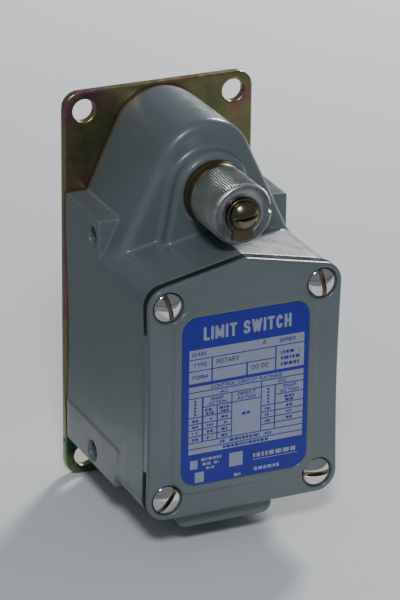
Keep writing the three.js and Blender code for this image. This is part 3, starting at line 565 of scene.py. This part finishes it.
def build_shaft():
    """The serrated shaft end, with a chamfered rim, a counterbored face and a notch in the rim."""
    front, knurl_back = SHAFT_LOW[1], -58.0
    outer, tooth, samples = SHAFT_HIGH[0], 0.42, 6
    steps = KNURL_TEETH * samples
    ridge = [abs(2 * (i % samples) / samples - 1) for i in range(steps)]
    rows = [  # radius of the crests, share of the tooth depth, distance along the axis
        (3.4, 0.0, front + 15.9),
        (3.4, 0.0, front + 0.22),
        (7.4, 0.0, front + 0.2),
        (7.45, 0.0, front + 0.18),
        (7.7, 0.0, front),
        (outer - 1.0, 0.0, front),
        (outer - 0.85, 0.0, front + 0.12),
        (outer - 0.2, 0.25, front + 0.85),
        (outer, 1.0, front + 1.1),
        (outer, 1.0, front + NOTCH["long"]),
        (outer, 1.0, front + NOTCH["long"] + 0.1),
        (outer, 1.0, knurl_back - 0.9),
        (outer - 0.5, 0.0, knurl_back - 0.35),
        (outer - 0.6, 0.0, knurl_back),
        (6.35, 0.0, knurl_back + 0.02),
        (6.35, 0.0, -20.4),
        (5.0, 0.0, -20.35),
        (5.0, 0.0, SHAFT_HIGH[1] - 0.3),
        (4.7, 0.0, SHAFT_HIGH[1]),
    ]
    vertices, faces = [], []
    for r, share, y in rows:
        for i in range(steps):
            a = 2 * math.pi * i / steps
            rim = r - share * tooth * ridge[i]
            off_notch = abs((math.degrees(a) - NOTCH["angle"] + 180) % 360 - 180)
            if off_notch < NOTCH["half"] and y < front + NOTCH["long"] + 0.05:
                rim = min(rim, NOTCH["r"])
            vertices.append((rim * math.cos(a), y, SHAFT_Z + rim * math.sin(a)))
    for row in range(len(rows) - 1):
        for i in range(steps):
            j = (i + 1) % steps
            faces.append((row * steps + i, row * steps + j, (row + 1) * steps + j, (row + 1) * steps + i))
    faces.append(list(range(steps)))
    faces.append([(len(rows) - 1) * steps + i for i in range(steps)])
    made = mesh_object("shaft_serrated", vertices, faces)
    work = bmesh.new()
    work.from_mesh(made.data)
    bmesh.ops.recalc_face_normals(work, faces=work.faces)
    sharp = math.radians(38)
    for edge in work.edges:
        edge.smooth = not (edge.is_manifold and edge.calc_face_angle() > sharp)
    work.to_mesh(made.data)
    work.free()
    return install(made, "shaft_body", "shaft_steel", "operating_shaft")


def build_collar():
    inner = 6.6
    back, front = COLLAR_HIGH[1], COLLAR_LOW[1]
    outer = COLLAR_HIGH[0]
    profile = [
        (inner, back),
        (outer - 0.5, back),
        (outer, back - 0.5),
        (outer, back - 1.6),
        (outer - 0.15, back - 2.1),
        (outer - 0.45, back - 2.5),
        (outer - 0.45, front + 1.5),
        (outer - 0.7, front + 0.7),
        (outer - 1.1, front),
        (inner, front),
    ]
    made = lathe("collar_ring", profile, 0, SHAFT_Z, closed=True)
    soften(made, 0.15)
    return install(made, "shaft_body", "bronze", "shaft_collar")


def build_end_screw():
    """A domed slotted screw head with a turned step round it."""
    grid = Grid(END_SCREW_LOW, (END_SCREW_HIGH[0], WASHER_LOW[1] + 4, END_SCREW_HIGH[2]), 0.16)
    seat = WASHER_LOW[1] - 0.05
    top, r = END_SCREW_LOW[1], END_SCREW_HIGH[0]
    around = np.hypot(grid.x, grid.z - SHAFT_Z)
    height = seat - top - 0.9
    dome_r = (r**2 + height**2) / (2 * height)
    dome = np.hypot(around, grid.y - (top + dome_r)) - dome_r
    shape = meet(meet(dome, around - r + 0.05, 0.5), grid.y - seat)
    shape = join(shape, meet(around - 3, top + 2 - grid.y))
    tilt = math.radians(6)
    across = np.abs((grid.z - SHAFT_Z) * math.cos(tilt) - grid.x * math.sin(tilt))
    shape = cut(shape, meet(across - 0.6, grid.y - top - 1.7), 0.1)
    shape = meet(shape, grid.y - WASHER_LOW[1] - 3)
    return install(cast_piece("end_screw_head", shape, grid), "shaft_body", "dark_steel", "shaft_end_screw")


def build_lock_washer():
    grid = Grid(WASHER_LOW, WASHER_HIGH, 0.14)
    around = np.hypot(grid.x, grid.z - SHAFT_Z)
    fan = [(-3.6, SHAFT_Z - 4.6), *arc(0, SHAFT_Z, 9.9, 244, 296), (3.6, SHAFT_Z - 4.6)]
    tongue = outline_distance(fan, grid.x, grid.z)
    shape = grid.between_y(join(around - 6.5, tongue, 0.8), WASHER_LOW[1], WASHER_HIGH[1], 0.18)
    shape = cut(shape, around - 3.3, 0.1)
    return install(cast_piece("washer_tongued", shape, grid), "shaft_body", "dark_steel", "lock_washer")


# ---- Materials ----
class Paint:
    """A node material: one Principled shader, with helpers for the nodes that vary it."""

    def __init__(self, name, **sockets):
        self.material = bpy.data.materials.new(name)
        self.material.use_nodes = True
        self.nodes, self.links = self.material.node_tree.nodes, self.material.node_tree.links
        self.shader = self.nodes["Principled BSDF"]
        self.place = self.nodes.new("ShaderNodeTexCoord").outputs["Object"]
        for socket, value in sockets.items():
            self.shader.inputs[socket.replace("_", " ")].default_value = value

    def noise(self, scale, detail=3.0, roughness=0.5, stretch=(1, 1, 1), distortion=0.0):
        mapping = self.nodes.new("ShaderNodeMapping")
        mapping.inputs["Scale"].default_value = stretch
        self.links.new(self.place, mapping.inputs["Vector"])
        made = self.nodes.new("ShaderNodeTexNoise")
        made.inputs["Scale"].default_value = scale
        made.inputs["Detail"].default_value = detail
        made.inputs["Roughness"].default_value = roughness
        made.inputs["Distortion"].default_value = distortion
        self.links.new(mapping.outputs["Vector"], made.inputs["Vector"])
        return made.outputs["Fac"]

    def ramp(self, source, *stops):
        made = self.nodes.new("ShaderNodeValToRGB")
        elements = made.color_ramp.elements
        while len(elements) < len(stops):
            elements.new(0.5)
        for element, (position, colour) in zip(elements, stops):
            element.position = position
            element.color = (*colour, 1) if len(colour) == 3 else colour
        self.links.new(source, made.inputs["Fac"])
        return made.outputs["Color"]

    def grade(self, source, low, high, to_low, to_high):
        made = self.nodes.new("ShaderNodeMapRange")
        limits = {"From Min": low, "From Max": high, "To Min": to_low, "To Max": to_high}
        for socket, value in limits.items():
            made.inputs[socket].default_value = value
        self.links.new(source, made.inputs["Value"])
        return made.outputs["Result"]

    def bump(self, height, distance, strength=1.0, under=None):
        made = self.nodes.new("ShaderNodeBump")
        made.inputs["Strength"].default_value = strength
        made.inputs["Distance"].default_value = distance * MM
        self.links.new(height, made.inputs["Height"])
        if under:
            self.links.new(under, made.inputs["Normal"])
        return made.outputs["Normal"]

    def drive(self, socket, source):
        self.links.new(source, self.shader.inputs[socket])
        return self


def enamel():
    """Semi-gloss grey paint with orange peel, faint mottling and a little dust."""
    paint = Paint("enamel_grey", IOR=1.5, Coat_Weight=0.12, Coat_Roughness=0.1)
    mottle = paint.noise(45, 4)
    colour = paint.ramp(mottle, (0.3, (0.118, 0.142, 0.150)), (0.7, (0.138, 0.163, 0.170)))
    paint.drive("Base Color", colour)
    paint.drive("Roughness", paint.grade(paint.noise(160, 3), 0.3, 0.7, 0.26, 0.36))
    waves = paint.bump(paint.noise(170, 2, 0.4), 0.06, 0.3)
    peel = paint.bump(paint.noise(650, 3, 0.5), 0.03, 0.5, waves)
    paint.drive("Normal", peel)
    return paint.material


def zinc():
    """Yellow chromate over bright zinc: olive metal that drifts through green, gold and rose."""
    paint = Paint("zinc_yellow", Metallic=1.0)
    drift = paint.noise(26, 3, 0.5, distortion=1.2)
    colour = paint.ramp(
        drift,
        (0.28, (0.10, 0.18, 0.11)),
        (0.42, (0.26, 0.27, 0.13)),
        (0.52, (0.38, 0.30, 0.15)),
        (0.62, (0.40, 0.17, 0.19)),
        (0.72, (0.12, 0.22, 0.20)),
    )
    paint.drive("Base Color", colour)
    paint.drive("Roughness", paint.grade(paint.noise(320, 4), 0.3, 0.7, 0.22, 0.36))
    paint.drive("Normal", paint.bump(paint.noise(500, 3), 0.02, 0.5))
    return paint.material


def metal(name, colour, dark, rough, grain=(1, 1, 1), scale=400, bump=0.01):
    """Bare metal with tonal variation, fine grain and uneven gloss."""
    paint = Paint(name, Metallic=1.0)
    paint.drive("Base Color", paint.ramp(paint.noise(120, 4), (0.3, dark), (0.65, colour)))
    grain_noise = paint.noise(scale, 3, stretch=grain)
    paint.drive("Roughness", paint.grade(grain_noise, 0.3, 0.7, rough * 0.75, rough * 1.3))
    paint.drive("Normal", paint.bump(paint.noise(scale * 2, 3, stretch=grain), bump, 0.6))
    return paint.material


def dull(name, colour, dark, rough, scale=300, bump=0.03):
    """Rubber, fibre or moulding: no metal, with mottling and a fine surface texture."""
    paint = Paint(name)
    paint.drive("Base Color", paint.ramp(paint.noise(90, 5), (0.3, dark), (0.7, colour)))
    roughest = min(1.0, rough * 1.15)
    paint.drive("Roughness", paint.grade(paint.noise(scale, 3), 0.3, 0.7, rough * 0.85, roughest))
    paint.drive("Normal", paint.bump(paint.noise(scale * 2, 4), bump, 0.6))
    return paint.material


def print_ink(name, colour, dark, rough=0.3):
    """Printed ink under a clear film: slightly uneven colour, low waviness."""
    paint = Paint(name)
    paint.drive("Base Color", paint.ramp(paint.noise(200, 4), (0.3, dark), (0.7, colour)))
    paint.drive("Roughness", paint.grade(paint.noise(250, 2), 0.3, 0.7, rough * 0.85, rough * 1.2))
    paint.drive("Normal", paint.bump(paint.noise(90, 2), 0.02, 0.3))
    return paint.material


ENAMEL = enamel()
ZINC = zinc()
RUBBER = dull("rubber_black", (0.010, 0.010, 0.010), (0.005, 0.005, 0.005), 0.85)
FIBRE = dull("fibre_brown", (0.16, 0.075, 0.035), (0.09, 0.04, 0.02), 0.85)
PHENOLIC = dull("phenolic_brown", (0.05, 0.03, 0.02), (0.03, 0.018, 0.012), 0.4, bump=0.01)
SCREW_METAL = metal("screw_bright", (0.78, 0.76, 0.71), (0.68, 0.67, 0.64), 0.06)
SHAFT_METAL = metal("shaft_zinc", (0.60, 0.62, 0.56), (0.44, 0.46, 0.42), 0.42)
# A darker, glossier copy of the shaft metal for the flat end face; its darker colour is painted shade for
# the dark reflections on that face.
FACE_METAL_WITH_PAINTED_SHADE = metal("shaft_face_painted_shade", (0.36, 0.37, 0.38), (0.19, 0.20, 0.21), 0.28)
# Dark steel of the end screw and lock washer; the same material is also painted shade in the cover screws'
# slots.
DARK_STEEL_AND_SLOT_SHADE = metal("aged_steel_and_slot_shade", (0.24, 0.20, 0.13), (0.13, 0.11, 0.08), 0.22)
BRONZE = metal("sintered_bronze", (0.17, 0.12, 0.06), (0.08, 0.06, 0.035), 0.4)
BRASS = metal("brass_strip", (0.62, 0.45, 0.18), (0.5, 0.36, 0.14), 0.28)
SPRING = metal("spring_wire", (0.42, 0.41, 0.39), (0.3, 0.29, 0.28), 0.3)
GREEN = metal("green_dyed_steel", (0.05, 0.26, 0.09), (0.03, 0.17, 0.06), 0.35)
BLUE_INK = print_ink("ink_blue", (0.007, 0.010, 0.31), (0.006, 0.008, 0.27))
PALE_INK = print_ink("ink_pale", (0.31, 0.33, 0.44), (0.28, 0.30, 0.40))
BLACK_INK = print_ink("ink_black", (0.02, 0.02, 0.025), (0.012, 0.012, 0.015))

NODE_FINISH = {
    "plate_zinc": ZINC,
    "fibre": FIBRE,
    "enamel": ENAMEL,
    "gasket_rubber": RUBBER,
    "label": BLUE_INK,
    "screw_steel": SCREW_METAL,
    "shaft_steel": SHAFT_METAL,
    "dark_steel": DARK_STEEL_AND_SLOT_SHADE,
    "bronze": BRONZE,
    "brass": BRASS,
    "spring_steel": SPRING,
    "phenolic": PHENOLIC,
    "green_screw": GREEN,
}


# ---- Nameplate ----
def flat_piece(name, loops, back, thickness, material):
    """Thin printed shapes, each an outline in the XZ plane, on the plane y = back."""
    work = bmesh.new()
    for loop in loops:
        low = [work.verts.new((x * MM, back * MM, z * MM)) for x, z in loop]
        high = [work.verts.new((x * MM, (back - thickness) * MM, z * MM)) for x, z in loop]
        work.faces.new(low)
        work.faces.new(list(reversed(high)))
        for i in range(len(loop)):
            j = (i + 1) % len(loop)
            work.faces.new((low[i], high[i], high[j], low[j]))
    bmesh.ops.recalc_face_normals(work, faces=work.faces)
    mesh = bpy.data.meshes.new(name)
    work.to_mesh(mesh)
    work.free()
    made = bpy.data.objects.new(name, mesh)
    made.data.materials.append(material)
    bpy.context.scene.collection.objects.link(made)
    return made


def rectangle(x0, x1, z0, z1):
    return [(x0, z0), (x1, z0), (x1, z1), (x0, z1)]


def bow(x, z, rx, rz, start, end):
    """Part of an ellipse in the unit box of a letter, as a run of points."""
    angles = np.radians(np.linspace(start, end, 13))
    return [(x + rx * math.cos(a), z + rz * math.sin(a)) for a in angles]


# Capitals as strokes in a box one unit wide and one high; the number is the width next to the usual one.
LETTERS = {
    "A": (1.1, [[(0, 0), (0.5, 1), (1, 0)], [(0.2, 0.32), (0.8, 0.32)]]),
    "C": (1.0, [bow(0.5, 0.5, 0.5, 0.5, 42, 318)]),
    "D": (1.0, [[(0, 1), (0.45, 1), *bow(0.45, 0.5, 0.55, 0.5, 90, -90), (0, 0), (0, 1)]]),
    "E": (0.85, [[(1, 1), (0, 1), (0, 0), (1, 0)], [(0, 0.52), (0.9, 0.52)]]),
    "F": (0.85, [[(1, 1), (0, 1), (0, 0)], [(0, 0.52), (0.85, 0.52)]]),
    "G": (1.0, [[*bow(0.5, 0.5, 0.5, 0.5, 42, 345), (1, 0.45), (0.6, 0.45)]]),
    "H": (1.0, [[(0, 1), (0, 0)], [(1, 1), (1, 0)], [(0, 0.5), (1, 0.5)]]),
    "I": (0.0, [[(0, 1), (0, 0)]]),
    "L": (0.75, [[(0, 1), (0, 0), (1, 0)]]),
    "M": (1.4, [[(0, 0), (0, 1), (0.5, 0.15), (1, 1), (1, 0)]]),
    "N": (1.0, [[(0, 0), (0, 1), (1, 0), (1, 1)]]),
    "O": (1.0, [bow(0.5, 0.5, 0.5, 0.5, 0, 360)]),
    "P": (0.9, [[(0, 0), (0, 1), (0.6, 1), *bow(0.6, 0.74, 0.4, 0.26, 90, -90), (0, 0.48)]]),
    "R": (
        1.0,
        [[(0, 0), (0, 1), (0.6, 1), *bow(0.6, 0.75, 0.4, 0.25, 90, -90), (0, 0.5)], [(0.6, 0.5), (1, 0)]],
    ),
    "S": (1.0, [[*bow(0.5, 0.75, 0.46, 0.25, 25, 250), *bow(0.5, 0.25, 0.5, 0.25, 70, -155)]]),
    "T": (1.0, [[(0, 1), (1, 1)], [(0.5, 1), (0.5, 0)]]),
    "U": (1.0, [[(0, 1), (0, 0.4), *bow(0.5, 0.4, 0.5, 0.4, 180, 360), (1, 1)]]),
    "W": (1.7, [[(0, 1), (0.25, 0), (0.5, 0.95), (0.75, 0), (1, 1)]]),
    "Y": (1.0, [[(0, 1), (0.5, 0.48), (1, 1)], [(0.5, 0.48), (0.5, 0)]]),
    " ": (0.2, []),
}


def capsule(grid, start, end):
    """Distance to the line between two points (x, z)."""
    (ax, az), (bx, bz) = start, end
    ex, ez = bx - ax, bz - az
    along = np.clip(((grid.x - ax) * ex + (grid.z - az) * ez) / (ex * ex + ez * ez + 1e-9), 0, 1)
    return np.hypot(grid.x - ax - along * ex, grid.z - az - along * ez)


def square_end(grid, tip, before, half):
    """A square that fills out the round end of a stroke."""
    (ax, az), (bx, bz) = tip, before
    long = math.hypot(ax - bx, az - bz) + 1e-9
    ex, ez = (ax - bx) / long, (az - bz) / long
    ahead = (grid.x - ax) * ex + (grid.z - az) * ez
    aside = (grid.z - az) * ex - (grid.x - ax) * ez
    return np.maximum(np.abs(ahead) - half, np.abs(aside) - half)


def lettering(name, lines, back, thickness, material):
    """Words on the plane y = back, each as (text, x from, x to, base z, cap height, stroke weight)."""
    vertices, faces = [], []
    for text, x0, x1, base, height, weight in lines:
        widths = [LETTERS[letter][0] for letter in text]
        gap = weight * 1.5
        unit = (x1 - x0 - weight - gap * (len(text) - 1)) / sum(widths)
        cell = weight / 8
        deep = 3 * cell
        grid = Grid((x0, back - deep, base), (x1, back, base + height), cell)
        across = np.full((grid.x.size, 1, grid.z.size), 1e3, np.float32)
        at = x0 + weight / 2
        for letter, width in zip(text, widths):
            for run in LETTERS[letter][1]:
                floor, rise = base + weight / 2, height - weight
                places = [(at + u * width * unit, floor + v * rise) for u, v in run]
                for start, end in zip(places, places[1:]):
                    across = np.minimum(across, capsule(grid, start, end) - weight / 2)
                for tip, before in ((places[0], places[1]), (places[-1], places[-2])):
                    across = np.minimum(across, square_end(grid, tip, before, weight / 2))
            at += width * unit + gap
        across = meet(meet(across, base - grid.z), grid.z - base - height)
        points, quads = net(grid.between_y(across, back - deep, back), grid)
        points[:, 1] = back + (points[:, 1] - back) * thickness / deep
        faces.extend((quads + len(vertices)).tolist())
        vertices.extend(points.tolist())
    made = mesh_object(name, vertices, faces)
    made.data.materials.append(material)
    merge_flats(made, 8 * cell)
    return made


def bars(x0, x1, z, height, seed, dense=0.7):
    """A line of fine print, drawn as plain dashes."""
    random = np.random.default_rng(abs(seed))
    made, at = [], x0
    while at < x1:
        width = random.uniform(0.35, 1.5) * height
        end = min(at + width, x1)
        if random.random() < dense + 0.25:
            made.append(rectangle(at, end, z, z + height))
        at = end + height * 0.35
    return made


# Rows and columns of the two pale tables: x from and to, z from and to.
TABLE_CELLS = [
    (-22.3, 23.2, 1.25, 4.8),
    (-22.3, -13.6, -3.3, 0.85),
    (-13.05, 11.65, -3.3, 0.85),
    (12.2, 23.2, -8.3, 0.85),
    (-22.3, -13.6, -8.3, -3.7),
    (-13.05, 0.2, -8.3, -3.7),
    (0.8, 11.65, -8.3, -3.7),
    (-22.3, 23.2, -11.6, -9.6),
    (-22.3, 6.2, -14.0, -12.0),
    (6.6, 23.2, -14.0, -12.0),
    (-22.3, -17.2, -21.6, -14.4),
    (-16.5, -5.5, -18.0, -14.4),
    (-5.1, 6.2, -18.0, -14.4),
    (6.6, 11.7, -21.6, -14.4),
    (12.2, 23.2, -18.0, -14.4),
    (-16.5, -11.3, -21.6, -18.4),
    (-10.8, -5.5, -21.6, -18.4),
    (-5.1, 6.2, -31.6, -18.4),
    (12.2, 23.2, -21.6, -18.4),
    (-22.3, 23.2, -34.1, -32.0),
    (-22.3, 23.2, -36.4, -34.5),
]
RATING_ROWS = [(-24.2, -22.0), (-26.6, -24.6), (-29.1, -27.0), (-31.6, -29.5)]
RATING_COLUMNS = [(-22.3, -17.2), (-16.5, -11.3), (-10.8, -5.5), (6.6, 11.7), (12.2, 23.2)]


def build_nameplate():
    front, back = LABEL_LOW[1], LABEL_HIGH[1]
    base_front = front + 0.06
    outline = rounded_rectangle(LABEL_LOW[0], LABEL_HIGH[0], LABEL_LOW[2], LABEL_HIGH[2], 6)
    base = flat_piece("nameplate_base", [outline], back, back - base_front, BLUE_INK)
    install(base, "cover_body", "label", "nameplate")
    cells = TABLE_CELLS + [(*column, *row) for row in RATING_ROWS for column in RATING_COLUMNS]
    tables = flat_piece("nameplate_tables", [rectangle(*c) for c in cells], base_front, 0.03, PALE_INK)
    title = [("LIMIT SWITCH", -16.8, 17.9, 7.95, 5.25, 1.08)]
    white = lettering("nameplate_title", title, base_front, 0.03, PALE_INK)
    words = [
        ("CLASS", -21.2, -15.6, 2.3, 1.5, 0.3),
        ("SERIES", 13.2, 19.8, 2.3, 1.5, 0.3),
        ("TYPE", -20.7, -15.3, -2.0, 1.6, 0.3),
        ("FORM", -20.9, -15.1, -6.8, 1.6, 0.3),
        ("CONTROL CIRCUIT RATINGS", -13.6, 14.6, -11.35, 1.45, 0.28),
        ("AC", -10.0, -6.6, -13.75, 1.4, 0.28),
        ("DC", 13.2, 16.6, -13.75, 1.4, 0.28),
        ("SNAP", -13.7, -8.5, -16.05, 1.35, 0.27),
        ("ACTION", -14.6, -7.4, -17.8, 1.35, 0.27),
        ("DIRECT", -3.1, 4.2, -16.05, 1.35, 0.27),
        ("ACTION", -3.1, 4.2, -17.8, 1.35, 0.27),
        ("SNAP", 15.0, 20.4, -16.05, 1.35, 0.27),
        ("ACTION", 14.0, 21.4, -17.8, 1.35, 0.27),
    ]
    table_front = base_front - 0.03
    blue = lettering("nameplate_words", words, table_front, 0.02, BLUE_INK)
    typed = [
        ("ROTARY", -11.6, -2.6, -1.9, 1.9, 0.26),
        ("A", 6.4, 8.0, 2.4, 1.9, 0.26),
        ("OO OO", 2.2, 9.0, -6.6, 1.9, 0.26),
    ]
    black = lettering("nameplate_typed", typed, table_front, 0.02, BLACK_INK)
    fine = []
    for row, column in itertools.product(RATING_ROWS, RATING_COLUMNS):
        if row == RATING_ROWS[-1] and column[0] > 0:
            continue
        middle = (column[0] + column[1]) / 2
        fine += bars(middle - 1.2, middle + 1.2, row[0] + 0.5, 1.0, int(100 + 10 * middle + row[0]))
    for column in RATING_COLUMNS[1:3] + RATING_COLUMNS[4:]:
        middle = (column[0] + column[1]) / 2
        fine += bars(middle - 2.0, middle + 2.0, -20.0, 1.0, int(200 + middle))
        fine += bars(middle - 1.6, middle + 1.6, -21.4, 1.0, int(300 + middle))
    for x in (-19.8, 9.2):
        fine += [rectangle(x - 0.4, x + 0.4, z, z + 0.9) for z in (-15.9, -17.2, -18.5, -19.8, -21.1)]
    fine += bars(-1.2, 2.2, -23.9, 1.1, 31)
    fine += bars(-9.8, 10.6, -33.6, 1.1, 32)
    fine += bars(-8.6, 9.4, -35.95, 1.1, 33)
    for seed, z in ((34, -2.4), (35, -4.7), (36, -7.0)):
        fine += bars(14.0, 21.4, z, 1.2, seed)
    small = flat_piece("nameplate_fine_print", fine, table_front, 0.02, BLUE_INK)
    foot = bars(-17.2, -9.2, -39.6, 1.1, 41)
    foot += bars(-16.6, -10.2, -41.5, 1.1, 42)
    foot += bars(-15.2, -11.6, -43.2, 1.0, 43)
    foot += bars(3.6, 21.2, -42.0, 1.7, 44, 0.9) + [rectangle(3.6, 21.4, -43.0, -42.75)]
    foot += bars(4.0, 14.1, -47.3, 1.3, 45) + bars(-4.0, -1.4, -48.2, 1.2, 46)
    foot += [rectangle(-6.0, -0.6, -44.0, -38.5)]
    foot += [rectangle(-21.6, -18.6, -42.4, -38.9), rectangle(-19.6, -16.0, -48.0, -43.9)]
    marks = flat_piece("nameplate_foot", foot, base_front, 0.03, PALE_INK)
    for made in (tables, white, blue, black, small, marks):
        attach(made, "cover_body")


# ---- Build ----
housing = build_housing(0.55)
housing.data.materials.append(ENAMEL)
cover = build_cover(0.4)
cover.data.materials.append(ENAMEL)
build_gasket(0.4).data.materials.append(RUBBER)
build_tapped_threads()
build_plate().data.materials.append(ZINC)
for number, angle in enumerate((-15, -11, 37, -87), 1):
    build_cover_screw(number, angle)
shaft = build_shaft()
shaft.data.materials.append(SHAFT_METAL)
shaft.data.materials.append(FACE_METAL_WITH_PAINTED_SHADE)
# The flat faces at the front end take the darker copy of the shaft metal: painted shade on the end face.
for polygon in shaft.data.polygons:
    polygon.material_index = int(abs(polygon.normal.y) > 0.9 and polygon.center.y < (SHAFT_LOW[1] + 1) * MM)
build_collar().data.materials.append(BRONZE)
build_end_screw().data.materials.append(DARK_STEEL_AND_SLOT_SHADE)
build_lock_washer().data.materials.append(DARK_STEEL_AND_SLOT_SHADE)
build_nameplate()

for part in frame["record"]["subparts"]:
    node = frame["nodes"][part["node"]]
    node.data.materials.clear()
    node.data.materials.append(NODE_FINISH[part["material_slot"]])


# ---- Stage, lights and camera ----
# Azimuth, elevation and roll in degrees, place in millimetres, focal length for a 36 mm sensor.
CAMERA = {"angles": (-24.42512, 23.15100, 0.714668), "place": (-442.45, -1016.50, 462.54), "lens": 189.14}
# Edges of the pale sheet, in metres. Metal that faces the camera mirrors what lies past the front one.
PAPER = {"front": -0.275, "left": -0.086, "slant": 0.343, "far": 5.0}


def lay_sheet(name, corners, height, dark, pale):
    """A flat matt sheet, faintly mottled, that lies under the switch."""
    paint = Paint(name, Roughness=0.9)
    paint.drive("Base Color", paint.ramp(paint.noise(3, 3), (0.3, dark), (0.7, pale)))
    mesh = bpy.data.meshes.new(name)
    mesh.from_pydata([(x, y, height) for x, y in corners], [], [(0, 3, 2, 1)])
    sheet = bpy.data.objects.new(name, mesh)
    bpy.context.scene.collection.objects.link(sheet)
    sheet.data.materials.append(paint.material)


def build_stage():
    """Pale paper on a grey table."""
    low, far = PLATE_LOW[2] * MM, PAPER["far"]
    near_left, far_left = [(PAPER["left"] + PAPER["slant"] * y, y) for y in (PAPER["front"], far)]
    paper = [near_left, far_left, (far, far), (far, PAPER["front"])]
    lay_sheet("floor_paper", paper, low, (0.76, 0.76, 0.75), (0.80, 0.80, 0.79))
    table = [(-far, -far), (-far, far), (far, far), (far, -far)]
    lay_sheet("floor_table", table, low - MM, (0.22, 0.23, 0.24), (0.25, 0.26, 0.27))


def add_light(name, location, target, size, power, colour=(1, 1, 1)):
    data = bpy.data.lights.new(name, "AREA")
    data.shape = "DISK"
    data.size = size
    data.energy = power
    data.color = colour
    light = bpy.data.objects.new(name, data)
    light.location = location
    light.rotation_euler = (Vector(target) - Vector(location)).to_track_quat("-Z", "Y").to_euler()
    bpy.context.scene.collection.objects.link(light)


def build_world():
    world = bpy.data.worlds.new("studio")
    bpy.context.scene.world = world
    world.use_nodes = True
    background = world.node_tree.nodes["Background"]
    background.inputs["Color"].default_value = (0.80, 0.90, 1.0, 1)
    background.inputs["Strength"].default_value = 0.215


def build_camera():
    """The main view: the camera sits left of and above the switch, a little rolled."""
    azimuth, elevation, roll = map(math.radians, CAMERA["angles"])
    flat = math.cos(elevation)
    back = Vector((math.sin(azimuth) * flat, -math.cos(azimuth) * flat, math.sin(elevation)))
    level = Vector((math.cos(azimuth), math.sin(azimuth), 0))
    over = back.cross(level)
    right = level * math.cos(roll) + over * math.sin(roll)
    up = over * math.cos(roll) - level * math.sin(roll)
    data = bpy.data.cameras.new("camera")
    data.sensor_width = 36
    data.lens = CAMERA["lens"]
    camera = bpy.data.objects.new("camera", data)
    place = Vector(CAMERA["place"]) * MM
    turn = Matrix((right, up, back)).transposed()
    camera.matrix_world = Matrix.Translation(place) @ turn.to_4x4()
    bpy.context.scene.collection.objects.link(camera)
    bpy.context.scene.camera = camera


build_stage()
add_light("key", location=(1.02, 1.02, 0.74), target=(0, -0.04, 0.03), size=0.35, power=22)
add_light(
    "window", location=(-0.5, -1.2, 1.15), target=(0, -0.04, 0), size=0.3, power=14, colour=(0.88, 0.95, 1.0)
)
build_world()
build_camera()
